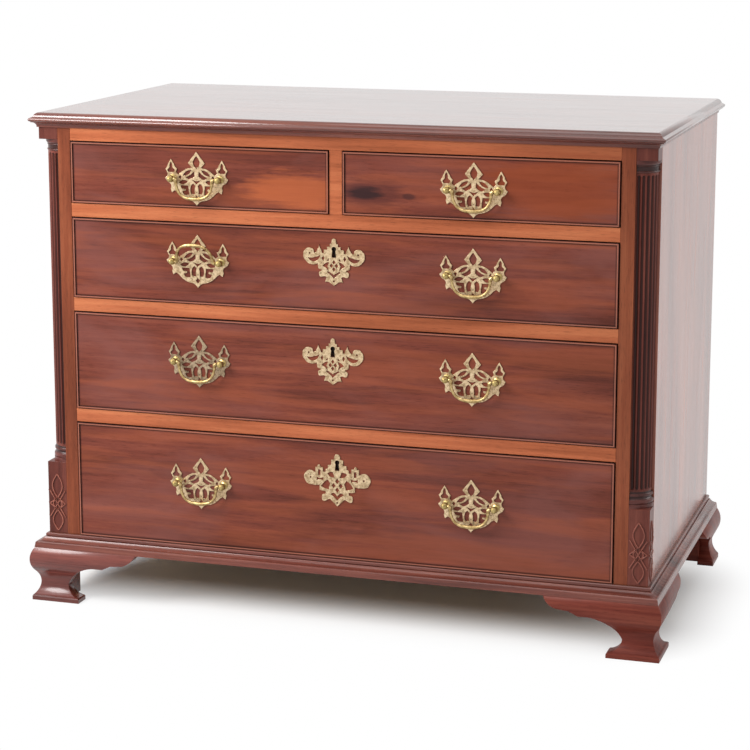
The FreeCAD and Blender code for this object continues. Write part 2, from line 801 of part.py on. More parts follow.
def make_lock(name):
    """A box lock let into the back of a drawer front, and the bolt that rises out of it."""
    row = DRAWERS[name][0]
    high = f"({ROWS[row][1]} - drawer_gap)"
    case = board(f"{name}_lock_case", "-lock_width / 2", "lock_width / 2",
                 "front_thickness - lock_depth", "front_thickness",
                 f"{high} - lock_height", high)
    half = "(bolt_width / 2 + bolt_clearance)"
    way = board(f"{name}_lock_way", f"-{half}", half, f"{BOLT_FRONT} - bolt_clearance",
                f"{BOLT_FRONT} + bolt_depth + bolt_clearance",
                f"{high} - bolt_height - bolt_clearance", f"{high} + cut_over")
    nodes.append(cut(f"{name}_lock", case, way))
    nodes.append(
        board(f"{name}_lock_bolt", "-bolt_width / 2", "bolt_width / 2", BOLT_FRONT,
              f"{BOLT_FRONT} + bolt_depth", f"{high} - bolt_height", high)
    )


# ---------------------------------------------------------------- the brasses

# Outlines of the castings, as (across, up) in millimetres for the right half, top to bottom.
PLATE_OUTLINE = [
    (0, 46.5), (6.5, 35), (15.5, 27), (9.5, 22.5), (18, 21.5), (33, 9), (38, 11), (36.5, 15.5),
    (41.5, 21), (46.5, 32), (51, 22), (57, 15), (53.5, 8.5), (57, 0.5), (45.5, -14),
    (45.5, -24), (39, -20.5), (24, -33.5), (8, -39), (0, -46.5),
]
PLATE_PIERCINGS = [
    [(0, 39), (4.8, 30), (0, 19.5), (-4.8, 30)],
    [(46.5, 26.5), (53, 14), (47, 9), (40.5, 14.5)],
    [(11, 19.5), (19.5, 16.5), (23, 10), (14.5, 12.5)],
    [(5, 15), (20, 3.5), (14.5, 0.5), (6.5, 7.5)],
    [(0, -2.5), (7, 5), (0, 1.5), (-7, 5)],
    [(18.5, -4), (25, -1.2), (31, -4.5), (25, -7.5)],
    [(10, -3), (10.5, -10), (7, -20), (4.2, -10)],
    [(14.5, -9), (26, -13), (16.5, -24), (12, -22)],
    [(0, -27), (4.2, -33), (0, -38), (-4.2, -33)],
]
SCROLLED_ESCUTCHEON = [
    (0, 23.5), (4.4, 16.5), (4.4, 13.5), (7.3, 13.5), (7.3, 9), (12, 9), (12, 4), (18, 4),
    (18, -2), (21.5, -2), (26.5, 11.5), (31, 0), (35, 2.5), (42, 5.5), (50, 3.5), (54.5, -3),
    (53.5, -12), (47.5, -19.5), (39, -22), (29, -19.5), (28, -28), (22, -30), (27, -37),
    (22, -41), (14, -42.5), (15, -51), (8, -51.5), (0, -57),
]
SCROLLED_PIERCINGS = [
    [(23.5, -5), (30, -9), (38, -9.5), (45.5, -13), (36, -16.5), (27.5, -13)],
    [(9, -16), (19, -23), (9.5, -30), (11, -23)],
    [(0, -13), (3, -16.5), (0, -20), (-3, -16.5)],
    [(4.7, -19), (7.7, -22.5), (4.7, -26), (1.7, -22.5)],
    [(0, -25), (3, -28.5), (0, -32), (-3, -28.5)],
    [(0, -44), (12, -34.5), (5, -35.5), (0, -38.5), (-5, -35.5), (-12, -34.5)],
]
EARED_ESCUTCHEON = [
    (0, 19), (4.5, 16), (4, 11.5), (10.5, 9), (10.5, 1), (16.5, 0), (16.5, -6), (20.5, -7),
    (20.5, -13.5), (25.5, -13.5), (25.5, -5), (32, -0.5), (38.5, -6), (38.5, -15), (46.5, -11.5),
    (55, -14), (58.5, -23), (54.5, -32.5), (43, -35.5), (31.5, -34.5), (31.5, -43), (21, -44),
    (20, -48), (27, -53.5), (24, -59.5), (17, -58), (12.5, -56), (0, -69),
]
EARED_PIERCINGS = [
    [(30, -9), (34, -9), (34, -18), (30, -18)],
    [(23, -22), (36, -22), (36, -27), (23, -27)],
    [(8, -11), (17, -14), (13.5, -18.5), (5, -20)],
    [(18, -24), (29.5, -36), (16, -40), (12.5, -32)],
    [(0, -22.5), (3.6, -26.8), (0, -31), (-3.6, -26.8)],
    [(6.5, -30), (10.1, -34.3), (6.5, -38.5), (2.9, -34.3)],
    [(0, -37.5), (3.6, -41.8), (0, -46), (-3.6, -41.8)],
    [(0, -61), (11, -50), (6, -46.5), (0, -53), (-6, -46.5), (-11, -50)],
]


def face_of(corners):
    points = [Vector(across, 0, up) for across, up in corners]
    return Part.Face(Part.makePolygon(points + points[:1]))


def pierced_plate(outline, piercings, size, thickness):
    """A flat symmetrical casting of a named size, its back on the XZ plane and its face
    towards -Y. A piercing that lies right of the middle is repeated on the left."""
    wide = value(f"{size}_width") / (2 * max(across for across, _ in outline))
    tall = value(f"{size}_height") / (outline[0][1] - outline[-1][1])

    def loop(corners, hand=1):
        return face_of([(hand * wide * across, tall * up) for across, up in corners])

    face = loop(outline + [(-across, up) for across, up in reversed(outline[1:-1])])
    for corners in piercings:
        face = face.cut(loop(corners))
        if min(across for across, _ in corners) > 0:
            face = face.cut(loop(corners, -1))
    return face.Faces[0].extrude(Vector(0, -thickness, 0))


def square_bar(size, front, back, across=0):
    """A square bar along Y between two depths."""
    corner = Vector(across - size / 2, front, -size / 2)
    return Part.makeBox(size, back - front, size, corner)


def backplate():
    """The bat-wing backplate, with square holes for the shanks of its posts."""
    plate = pierced_plate(PLATE_OUTLINE, PLATE_PIERCINGS, "plate", value("plate_thickness"))
    hole = value("shank_size + 2 * shank_clearance")
    for side in (-1, 1):
        across = side * value("post_spacing / 2")
        plate = plate.cut(square_bar(hole, -value("plate_thickness"), 0, across))
    return plate


def handle_post(side):
    """A cast post: a chamfered head bored across for the bail, and a square shank through the
    plate and the drawer front."""
    across = side * value("post_spacing / 2")
    half = value("post_width / 2")
    flat = half - value("post_chamfer")
    front = -value("post_reach + post_width / 2")
    corners = [(half, -flat), (half, flat), (flat, half), (-flat, half)]
    corners += [(-u, -v) for u, v in corners]
    outline = Part.makePolygon([Vector(across + u, front, v) for u, v in corners + corners[:1]])
    depth = -value("plate_thickness") - front
    head = Part.Face(outline).extrude(Vector(0, depth, 0))
    shank = square_bar(value("shank_size"), -value("plate_thickness"),
                       value("front_thickness"), across)
    bore = Part.makeCylinder(value("pin_radius + pin_clearance"), 4 * half,
                             Vector(across - 2 * half, -value("post_reach"), 0), Vector(1, 0, 0))
    return head.fuse(shank).cut(bore)


def hexagon(across, radius):
    """A regular hexagon square to X, at a distance across."""
    angles = [math.radians(60 * index) for index in range(7)]
    return Part.makePolygon(
        [Vector(across, radius * math.cos(angle), radius * math.sin(angle)) for angle in angles]
    )


def bail():
    """A swinging bail, hanging from the axis through the bores of its two posts: a
    six-sided rod swept round the drop, with a thinner pin at each end for the bores."""
    half = value("bail_spread / 2")
    drop = value("bail_drop")
    corner = value("bail_corner")
    radius = value("bail_radius")
    shoulder = value("post_spacing / 2 - post_width / 2 - runner_gap")
    steps = 2
    right = [(shoulder, 0), (half + 0.8 * radius, 0), (half, -0.8 * radius)]
    for step in range(steps + 1):
        angle = math.radians(90 * step / steps)
        right.append((half - corner + corner * math.cos(angle),
                      corner - drop - corner * math.sin(angle)))
    left = [(-across, up) for across, up in reversed(right)]
    spine = Part.makePolygon([Vector(across, 0, up) for across, up in right + left])
    mitred = 1
    rod = spine.makePipeShell([hexagon(shoulder, radius)], True, False, mitred)
    pin_length = value("post_width + runner_gap - pin_setback")
    pins = [
        Part.Face(hexagon(side * shoulder, value("pin_radius"))).extrude(
            Vector(side * pin_length, 0, 0))
        for side in (-1, 1)
    ]
    return rod.fuse(pins)


def make_handles(name):
    """The plates, posts and nuts of a drawer's handles, and a bail on each."""
    row = DRAWERS[name][0]
    level = f"({ROWS[row][0]} + {row}_handle_rise)"
    fittings = []
    for side, across in HANDLE_PLACES[name].items():
        offset = Vector(value(across), 0, 0)
        for solid in (backplate(), handle_post(-1), handle_post(1)):
            solid.translate(offset)
            fittings.append(solid)
        swinging = bail()
        if name + side == RAISED_BAIL:
            swinging.rotate(Vector(0, 0, 0), Vector(1, 0, 0), -value("raised_bail_angle"))
        shaped(f"{name}{side}_bail", swinging, across, "-post_reach", level)
    shaped(f"{name}_handles", Part.makeCompound(fittings), "0", "0", level)


def make_escutcheon(name):
    """The pierced plate round a keyhole. The lowest drawer's is of another pattern."""
    thickness = value("escutcheon_thickness")
    if name == "lower_long":
        plate = pierced_plate(EARED_ESCUTCHEON, EARED_PIERCINGS, "eared", thickness)
    else:
        plate = pierced_plate(SCROLLED_ESCUTCHEON, SCROLLED_PIERCINGS, "scrolled", thickness)
    row = DRAWERS[name][0]
    shaped(f"{name}_escutcheon", plate.cut(keyhole()), f"{row}_keyhole_offset", "0",
           f"{ROWS[row][1]} - {row}_keyhole_drop")


def keyhole():
    """A round eye over a slot that widens downwards, cut through an escutcheon."""
    radius = value("keyhole_radius")
    foot = -value("keyhole_length / 2")
    eye = -foot - radius
    corners = [(-radius, foot), (radius, foot)]
    for degrees in range(144, -145, -48):
        angle = math.radians(degrees)
        corners.append((radius * math.sin(angle), eye + radius * math.cos(angle)))
    return face_of(corners).extrude(Vector(0, -2 * value("escutcheon_thickness"), 0))


# ---------------------------------------------------------------- the whole chest


def check_document():
    doc.recompute()
    for item in doc.Objects:
        if "Invalid" in item.State or "Error" in item.State:
            raise RuntimeError(f"{item.Label} failed: {item.State}")
    for item in nodes:
        if item.Shape.isNull() or not item.Shape.isValid() or not item.Shape.Solids:
            raise RuntimeError(f"{item.Label} has no valid solid")


def main():
    fill_sheet()
    make_top_board()
    make_mouldings()
    make_shell()
    make_front_frame()
    make_drawer_runs()
    make_columns()
    make_front_foot()
    make_rear_foot()
    for name in DRAWERS:
        make_drawer(name)
        make_handles(name)
    for name in LOCKED_DRAWERS:
        make_lock(name)
        make_escutcheon(name)
    check_document()
    os.makedirs("parts", exist_ok=True)
    for item in nodes:
        item.Shape.exportStep(os.path.join("parts", f"{item.Label}.step"))


main()
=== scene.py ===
import json
import math

import bmesh
import bpy
from mathutils import Matrix, Vector

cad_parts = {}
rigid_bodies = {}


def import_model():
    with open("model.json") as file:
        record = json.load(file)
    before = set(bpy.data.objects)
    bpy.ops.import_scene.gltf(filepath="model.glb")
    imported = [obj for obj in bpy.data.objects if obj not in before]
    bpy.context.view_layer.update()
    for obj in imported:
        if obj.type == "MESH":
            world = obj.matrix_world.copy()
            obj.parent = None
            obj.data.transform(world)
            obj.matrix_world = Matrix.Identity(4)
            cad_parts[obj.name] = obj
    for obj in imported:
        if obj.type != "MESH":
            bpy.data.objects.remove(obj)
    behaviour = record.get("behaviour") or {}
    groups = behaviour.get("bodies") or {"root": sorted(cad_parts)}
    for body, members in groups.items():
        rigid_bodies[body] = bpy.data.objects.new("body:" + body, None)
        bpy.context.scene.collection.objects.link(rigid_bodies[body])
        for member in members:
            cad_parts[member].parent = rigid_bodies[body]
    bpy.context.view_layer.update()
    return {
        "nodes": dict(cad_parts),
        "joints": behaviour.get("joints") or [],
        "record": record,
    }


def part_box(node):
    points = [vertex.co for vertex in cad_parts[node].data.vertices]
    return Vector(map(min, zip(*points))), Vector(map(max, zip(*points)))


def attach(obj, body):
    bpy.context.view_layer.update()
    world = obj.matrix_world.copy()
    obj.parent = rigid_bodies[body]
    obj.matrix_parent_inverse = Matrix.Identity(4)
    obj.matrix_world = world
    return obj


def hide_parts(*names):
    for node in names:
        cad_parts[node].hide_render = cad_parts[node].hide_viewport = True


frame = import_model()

SCENE = bpy.context.scene
MM = 0.001
QUARTER_TURN = math.radians(90)

# ---------------------------------------------------------------- camera

# Near to the photograph's own camera. Its place is in metres.
CAMERA_PLACE = (1.1475, -3.7351, 1.2362)
CAMERA_YAW = math.radians(-17.361)
CAMERA_PITCH = math.radians(-10.898)
CAMERA_LENS = 107.94
CAMERA_SENSOR = 36
CAMERA_SHIFT = -0.08
CAMERA_RANGE = 60


def make_camera():
    data = bpy.data.cameras.new("camera")
    camera = bpy.data.objects.new("camera", data)
    SCENE.collection.objects.link(camera)
    data.lens = CAMERA_LENS
    data.sensor_width = CAMERA_SENSOR
    data.shift_y = CAMERA_SHIFT
    data.clip_end = CAMERA_RANGE
    camera.location = CAMERA_PLACE
    ahead = Vector((
        math.sin(CAMERA_YAW) * math.cos(CAMERA_PITCH),
        math.cos(CAMERA_YAW) * math.cos(CAMERA_PITCH),
        math.sin(CAMERA_PITCH),
    ))
    camera.rotation_mode = "QUATERNION"
    camera.rotation_quaternion = ahead.to_track_quat("-Z", "Y")
    SCENE.camera = camera


# ---------------------------------------------------------------- node trees

# The sockets that a mix node uses for colours.
MIX_FACTOR, MIX_FIRST, MIX_SECOND, MIX_RESULT = 0, 6, 7, 2

# How many tears to the metre the rim of a patch has, when it is ragged.
RIM_TEARS = (14, 60, 130)


def srgb(red, green, blue):
    """A linear colour from the 0 to 255 values that a picture shows."""
    def linear(level):
        level /= 255
        return level / 12.92 if level <= 0.04045 else ((level + 0.055) / 1.055) ** 2.4
    return (linear(red), linear(green), linear(blue), 1)


class Tree:
    """A node tree. Whatever feeds a node is another node's socket or a plain value."""

    def __init__(self, tree):
        self.tree = tree

    def node(self, kind, sources=None, **settings):
        made = self.tree.nodes.new(kind)
        for key, setting in settings.items():
            setattr(made, key, setting)
        for key, source in (sources or {}).items():
            socket = made.inputs[key]
            if isinstance(source, bpy.types.NodeSocket):
                self.tree.links.new(source, socket)
            else:
                socket.default_value = source
        return made

    def math(self, operation, first, second=0.0, third=0.0):
        sources = {0: first, 1: second, 2: third}
        return self.node("ShaderNodeMath", sources, operation=operation).outputs[0]

    def looked_at(self):
        """One for rays that see a thing straight, mirrored or through glass, and nothing for
        rays that only gather its light."""
        rays = self.node("ShaderNodeLightPath").outputs
        seen = self.math("MAXIMUM", rays["Is Camera Ray"], rays["Is Glossy Ray"])
        return self.math("MAXIMUM", seen, rays["Is Transmission Ray"])


class Shader(Tree):
    """A material's node tree, with short calls for what every material here needs."""

    def __init__(self, name):
        self.material = bpy.data.materials.new(name)
        self.material.use_nodes = True
        super().__init__(self.material.node_tree)
        self.surface = self.tree.nodes["Principled BSDF"]
        self.place = self.node("ShaderNodeTexCoord").outputs["Object"]

    def vector(self, operation, first, second=(0, 0, 0)):
        sources = {0: first, 1: second}
        return self.node("ShaderNodeVectorMath", sources, operation=operation).outputs

    def noise(self, scale, detail=4, roughness=0.6, distortion=0, offset=(0, 0, 0)):
        """Noise with so many features a metre along each axis."""
        sources = {"Vector": self.place, "Scale": scale, "Location": offset}
        spot = self.node("ShaderNodeMapping", sources).outputs[0]
        sources = {"Vector": spot, "Scale": 1, "Detail": detail, "Roughness": roughness,
                   "Distortion": distortion}
        return self.node("ShaderNodeTexNoise", sources).outputs["Fac"]

    def ramp(self, factor, *stops):
        """Colours or greys at positions along a factor."""
        made = self.node("ShaderNodeValToRGB", {"Fac": factor})
        band = made.color_ramp
        while len(band.elements) < len(stops):
            band.elements.new(0.5)
        for element, (position, colour) in zip(band.elements, stops):
            element.position = position
            element.color = colour if isinstance(colour, tuple) else (colour, colour, colour, 1)
        return made.outputs["Color"]

    def mix(self, factor, first, second, blend="MIX"):
        sources = {MIX_FACTOR: factor, MIX_FIRST: first, MIX_SECOND: second}
        made = self.node("ShaderNodeMix", sources, data_type="RGBA", blend_type=blend)
        return made.outputs[MIX_RESULT]

    def oval(self, centre, size, ragged):
        """One inside an oval patch, fading to nothing at its rim, which can be ragged."""
        off = self.vector("SUBTRACT", self.place, centre)["Vector"]
        off = self.vector("DIVIDE", off, size)["Vector"]
        far = self.vector("LENGTH", off)["Value"]
        tears = self.noise(RIM_TEARS, detail=4, roughness=0.65)
        reach = self.math("ADD", far, self.math("MULTIPLY_ADD", tears, ragged, -ragged / 2))
        sources = {"Value": reach, "From Min": 0.6, "From Max": 1.1, "To Min": 1.0, "To Max": 0.0}
        return self.node("ShaderNodeMapRange", sources).outputs[0]

    def bump(self, height, strength, distance=0.0005):
        sources = {"Height": height, "Strength": strength, "Distance": distance}
        self.link(self.node("ShaderNodeBump", sources).outputs[0], "Normal")

    def link(self, source, name):
        self.tree.links.new(source, self.surface.inputs[name])

    def set(self, **values):
        for name, setting in values.items():
            self.surface.inputs[name.replace("_", " ")].default_value = setting


# ---------------------------------------------------------------- kinds of material

AXES = {"X": (1, 0, 0), "Y": (0, 1, 0), "Z": (0, 0, 1)}


def grain(axis, along, across):
    """A noise scale that is stretched along the grain."""
    return tuple(along if on else across for on in AXES[axis])


def wood(name, tones, axis, roughness, coat, specular, seed, touches=()):
    """Polished mahogany: broad bands of figure, finer streaks, and short dark pores. A touch changes
    the colour in some places, for wear, dirt or stains, and also for painted shade and painted
    highlights."""
    shader = Shader(name)
    dark, middle, light = (srgb(*tone) for tone in tones)
    bands = shader.noise(grain(axis, along=1.3, across=14), detail=3, roughness=0.55,
                         distortion=0.8, offset=(seed, seed * 2, seed * 3))
    streaks = shader.noise(grain(axis, along=4, across=110), detail=6, roughness=0.65,
                           distortion=0.3, offset=(seed * 5, seed, seed))
    pores = shader.noise(grain(axis, along=55, across=1100), detail=2, roughness=0.5,
                         offset=(seed, seed, seed))
    blotches = shader.noise((3.1, 3.7, 4.3), detail=3, roughness=0.5,
                            distortion=0.4, offset=(seed * 7, 1, seed))
    figure = shader.mix(0.45, bands, streaks)
    colour = shader.ramp(figure, (0.34, dark), (0.5, middle), (0.66, light))
    shade = shader.ramp(blotches, (0.3, 0.80), (0.7, 1.0))
    colour = shader.mix(1.0, colour, shade, "MULTIPLY")
    pits = shader.ramp(pores, (0.33, 0.55), (0.42, 1.0))
    colour = shader.mix(0.7, colour, pits, "MULTIPLY")
    for touch in touches:
        colour = touch(shader, colour)
    shader.link(colour, "Base Color")
    shader.link(shader.math("MULTIPLY_ADD", streaks, 0.25, roughness - 0.12), "Roughness")
    shader.bump(pits, strength=0.12)
    shader.set(Specular_IOR_Level=specular, Coat_Weight=coat, Coat_Roughness=0.12, Coat_IOR=1.5)
    return shader.material


def plain_wood(name, tones, axis, roughness):
    """Unpolished secondary wood, oak or pine, with ring lines."""
    shader = Shader(name)
    dark, light = (srgb(*tone) for tone in tones)
    rings = shader.noise(grain(axis, along=1.1, across=30), detail=4, distortion=1.2)
    fine = shader.noise(grain(axis, along=12, across=420), detail=3)
    colour = shader.ramp(shader.mix(0.35, rings, fine), (0.32, dark), (0.62, light))
    dirt = shader.ramp(shader.noise((6, 6, 6)), (0.35, 0.75), (0.65, 1.0))
    shader.link(shader.mix(1.0, colour, dirt, "MULTIPLY"), "Base Color")
    shader.set(Roughness=roughness, Specular_IOR_Level=0.25)
    shader.bump(fine, strength=0.25)
    return shader.material


def brass(name, bright, dull, roughness):
    """Cast brass, rubbed bright in places and browned in others, with dark specks."""
    shader = Shader(name)
    cast = shader.noise((900, 900, 900))
    clouding = shader.noise((150, 150, 150), detail=5, roughness=0.7, distortion=0.4)
    tarnish = shader.ramp(clouding, (0.40, 0.0), (0.62, 1.0))
    specks = shader.ramp(shader.noise((420, 420, 420), detail=3), (0.34, 0.4), (0.44, 1.0))
    colour = shader.mix(tarnish, srgb(*bright), srgb(*dull))
    shader.link(shader.mix(0.8, colour, specks, "MULTIPLY"), "Base Color")
    shader.link(shader.ramp(tarnish, (0.0, roughness), (1.0, roughness + 0.2)), "Roughness")
    shader.bump(cast, strength=0.12, distance=0.0003)
    shader.set(Metallic=1.0)
    return shader.material


def iron(name):
    """Dark wrought iron with thin rust."""
    shader = Shader(name)
    clouding = shader.noise((160, 160, 160), detail=5, roughness=0.7)
    rust = shader.ramp(clouding, (0.4, srgb(58, 54, 52)), (0.68, srgb(96, 66, 48)))
    shader.link(rust, "Base Color")
    shader.bump(shader.noise((1200, 1200, 1200), detail=3), strength=0.3)
    shader.set(Metallic=0.8, Roughness=0.55)
    return shader.material


# ---------------------------------------------------------------- touches on the wood

# The rim of a drawer front, measured inwards from its edge over BEAD_ZONE metres. The stops
# give how strongly a tint shows at a share of that way.
BEAD_ZONE = 0.010
# The pale crest of the cockbead is a painted highlight and also polish rubbed off there. The dark tint
# at the outer edge and in the corner inside the bead is painted shade and also dirt.
BEAD_CREST_WEAR_AND_HIGHLIGHT = srgb(186, 122, 100)
BEAD_CREST_STOPS = ((0.06, 0.0), (0.12, 0.55), (0.24, 0.55), (0.30, 0.0))
PAINTED_SHADE_AND_DIRT = srgb(40, 20, 18)
BEAD_SHADE_AND_DIRT_STOPS = ((0.0, 0.9), (0.08, 0.2), (0.24, 0.0), (0.31, 0.75), (0.40, 0.6), (0.62, 0.0))


def patch(tint, centre, size, strength, ragged=1.4):
    """A touch that tints an oval patch, given its centre and half sizes in metres."""
    def touch(shader, colour):
        inside = shader.math("MULTIPLY", shader.oval(centre, size, ragged), strength)
        return shader.mix(inside, colour, tint)
    return touch


def clouds(tint, scale, seed, strength):
    """A touch that tints broad drifting patches, so many to the metre along each axis."""
    def touch(shader, colour):
        drift = shader.noise(scale, detail=4, roughness=0.6, distortion=0.6,
                             offset=(seed, seed, seed))
        return shader.mix(shader.ramp(drift, (0.46, 0.0), (0.62, strength)), colour, tint)
    return touch


def bead_lines(node):
    """A touch that paints the crest of a drawer's cockbead pale, a painted highlight that is also
    rubbed polish, and darkens the corner inside it and the edge outside with painted shade that is
    also dirt."""
    lowest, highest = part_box(node)

    def touch(shader, colour):
        spot = shader.node("ShaderNodeSeparateXYZ", {"Vector": shader.place}).outputs
        across = shader.math("MINIMUM", shader.math("SUBTRACT", spot["X"], lowest.x),
                             shader.math("SUBTRACT", highest.x, spot["X"]))
        up = shader.math("MINIMUM", shader.math("SUBTRACT", spot["Z"], lowest.z),
                         shader.math("SUBTRACT", highest.z, spot["Z"]))
        inward = shader.math("DIVIDE", shader.math("MINIMUM", across, up), BEAD_ZONE)
        colour = shader.mix(shader.ramp(inward, *BEAD_CREST_STOPS), colour, BEAD_CREST_WEAR_AND_HIGHLIGHT)
        return shader.mix(shader.ramp(inward, *BEAD_SHADE_AND_DIRT_STOPS), colour, PAINTED_SHADE_AND_DIRT)
    return touch


def grooves(inner, outer, hollow, crest):
    """A touch for turned and fluted pieces, which are darkened with painted shade in their hollows and
    barely darkened on their crests, going by the distance from the piece's own upright axis, in
    metres."""
    def touch(shader, colour):
        flat = shader.vector("MULTIPLY", shader.place, (1, 1, 0))["Vector"]
        far = shader.vector("LENGTH", flat)["Value"]
        sources = {"Value": far, "From Min": inner, "From Max": outer}
        share = shader.node("ShaderNodeMapRange", sources).outputs[0]
        light = shader.ramp(share, (0.1, hollow), (0.9, crest))
        return shader.mix(1.0, colour, light, "MULTIPLY")
    return touch


# Drifts of colour over the drawer fronts, and marks placed where the photograph shows them, among them
# a painted shade on the top rail.
CASE_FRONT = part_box("stiles")[0].y
HAZE = clouds(srgb(126, 78, 72), scale=(2.6, 2, 7), seed=3.3, strength=0.45)
AMBER = clouds(srgb(158, 82, 52), scale=(3.2, 2, 34), seed=9.1, strength=0.35)
FLAME = patch(srgb(186, 98, 56), (-0.065, CASE_FRONT, 0.737), (0.10, 0.03, 0.034), 0.55)
GLOW = patch(srgb(138, 62, 30), (0.36, CASE_FRONT, 0.757), (0.16, 0.05, 0.060), 0.55)
INK_HALO = patch(srgb(74, 36, 34), (0.060, CASE_FRONT, 0.740), (0.066, 0.02, 0.026), 0.6)
INK = patch(srgb(32, 22, 26), (0.050, CASE_FRONT, 0.740), (0.032, 0.02, 0.011), 0.80)
INK_DROP = patch(srgb(48, 28, 30), (0.124, CASE_FRONT, 0.737), (0.012, 0.02, 0.006), 0.60)
# Darker, redder wood at the right end of the top rail, which is also painted shade for the light that
# falls off to the right.
TOP_RAIL_TONE_AND_PAINTED_SHADE = patch(srgb(112, 50, 30), (0.52, CASE_FRONT, 0.822), (0.34, 0.10, 0.034), 0.42,
                       ragged=0.3)

# The wood behind a keyhole is painted as dark as a hole: a painted shade for the dark inside of the
# keyhole.
KEY_PAINTED_SHADE_SIZE = (0.007, 0.02, 0.013)
KEY_PAINTED_SHADE_STRENGTH = 0.97

# The radii, in metres, between which the columns' flutes and the rings' hollows get painted shade.
COLUMN_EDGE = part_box("column_shaft_right")[0].x
SHAFT_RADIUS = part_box("column_shaft_right")[1].x - COLUMN_EDGE
RING_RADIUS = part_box("column_capitals")[1].x - COLUMN_EDGE
SHADED_FLUTE = 0.0028

# ---------------------------------------------------------------- the materials

# Each polished wood's dark, middle and light tones as 0 to 255 values, the axis that its grain
# runs along, how it shines, and a seed that gives it a figure of its own.
WOODS = {
    "polished_top": {
        "tones": ((74, 32, 24), (104, 48, 36), (130, 68, 50)),
        "axis": "X", "roughness": 0.22, "coat": 0.8, "specular": 0.3, "seed": 0.3,
    },
    "polished_side": {
        "tones": ((104, 46, 32), (146, 74, 52), (178, 102, 74)),
        "axis": "Z", "roughness": 0.24, "coat": 0.46, "specular": 0.25, "seed": 1.7,
    },
    "front_frame": {
        "tones": ((140, 72, 42), (182, 100, 64), (206, 124, 82)),
        "axis": "X", "roughness": 0.34, "coat": 0.0, "specular": 0.18, "seed": 4.1,
        "touches": [TOP_RAIL_TONE_AND_PAINTED_SHADE],
    },
    "stile_wood": {
        "tones": ((104, 50, 30), (134, 68, 43), (156, 88, 58)),
        "axis": "Z", "roughness": 0.34, "coat": 0.0, "specular": 0.18, "seed": 5.3,
    },
    "shaft_wood": {
        "tones": ((84, 40, 32), (116, 58, 48), (144, 80, 66)),
        "axis": "Z", "roughness": 0.34, "coat": 0.0, "specular": 0.2, "seed": 6.2,
        "touches": [grooves(SHAFT_RADIUS - SHADED_FLUTE, SHAFT_RADIUS, hollow=0.22, crest=0.95)],
    },
    "ring_wood": {
        "tones": ((66, 32, 28), (94, 46, 40), (120, 66, 58)),
        "axis": "X", "roughness": 0.30, "coat": 0.0, "specular": 0.3, "seed": 6.5,
        "touches": [grooves(SHAFT_RADIUS, RING_RADIUS, hollow=0.28, crest=0.95)],
    },
    "block_wood": {
        "tones": ((72, 33, 27), (102, 50, 41), (128, 70, 57)),
        "axis": "Z", "roughness": 0.34, "coat": 0.0, "specular": 0.2, "seed": 6.9,
    },
    # The fret is given lighter tones than the block it lies on, a painted highlight on its raised
    # strips.
    "fret_wood": {
        "tones": ((108, 58, 47), (148, 84, 69), (178, 110, 91)),
        "axis": "Z", "roughness": 0.30, "coat": 0.1, "specular": 0.3, "seed": 7.1,
    },
    "moulding_wood": {
        "tones": ((78, 37, 30), (116, 60, 49), (148, 86, 70)),
        "axis": "X", "roughness": 0.26, "coat": 0.22, "specular": 0.32, "seed": 7.4,
    },
    "foot_wood": {
        "tones": ((80, 34, 28), (114, 54, 46), (148, 80, 68)),
        "axis": "X", "roughness": 0.28, "coat": 0.25, "specular": 0.36, "seed": 8.8,
    },
    "dull_foot_wood": {
        "tones": ((80, 33, 27), (114, 52, 42), (148, 77, 61)),
        "axis": "X", "roughness": 0.36, "coat": 0.0, "specular": 0.12, "seed": 9.2,
    },
}
DRAWER_WOOD = {
    "tones": ((88, 42, 32), (119, 59, 46), (144, 78, 60)),
    "axis": "X", "roughness": 0.34, "coat": 0.0, "specular": 0.16,
}
DRAWER_SEEDS = {
    "left_short": 2.9, "right_short": 3.6, "upper_long": 2.2, "middle_long": 4.7, "lower_long": 5.8,
}
DRAWER_MARKS = {"left_short": [FLAME], "right_short": [GLOW, INK_HALO, INK, INK_DROP]}
PLAIN_WOODS = {
    "secondary_wood": {"tones": ((140, 104, 66), (188, 152, 106)), "axis": "Y", "roughness": 0.7},
    "back_wood": {"tones": ((112, 84, 56), (158, 124, 86)), "axis": "Z", "roughness": 0.8},
}
BRASSES = {
    "brass": {"bright": (228, 202, 164), "dull": (158, 132, 100), "roughness": 0.34},
    "dull_brass": {"bright": (186, 164, 136), "dull": (126, 106, 84), "roughness": 0.42},
    "post_brass": {"bright": (200, 178, 120), "dull": (128, 106, 62), "roughness": 0.38},
    "bail_brass": {"bright": (204, 178, 126), "dull": (140, 114, 72), "roughness": 0.34},
}

# Nodes whose look isn't simply that of their slot.
NODE_MATERIALS = {
    "stiles": "stile_wood",
    "back_boards": "back_wood",
    "foot_front_right": "dull_foot_wood",
    "foot_rear_left": "dull_foot_wood",
    "foot_rear_right": "dull_foot_wood",
    "column_shaft_left": "shaft_wood",
    "column_shaft_right": "shaft_wood",
    "column_capitals": "ring_wood",
    "column_bases": "ring_wood",
    "plinth_blocks": "block_wood",
    "frieze_blocks": "block_wood",
}


def make_materials():
    """Every material by its name. Each drawer front has a wood named after its own node."""
    made = {"lock_iron": iron("lock_iron")}
    for kind, looks in ((wood, WOODS), (plain_wood, PLAIN_WOODS), (brass, BRASSES)):
        for name, look in looks.items():
            made[name] = kind(name, **look)
    for drawer, seed in DRAWER_SEEDS.items():
        node = f"{drawer}_front"
        touches = [HAZE, AMBER, *DRAWER_MARKS.get(drawer, []), bead_lines(node)]
        # Painted shade on the wood behind each keyhole.
        if drawer in ESCUTCHEONS:
            touches.append(patch(PAINTED_SHADE_AND_DIRT, key_place(drawer), KEY_PAINTED_SHADE_SIZE, KEY_PAINTED_SHADE_STRENGTH, 0))
        made[node] = wood(node, seed=seed, touches=touches, **DRAWER_WOOD)
    return made


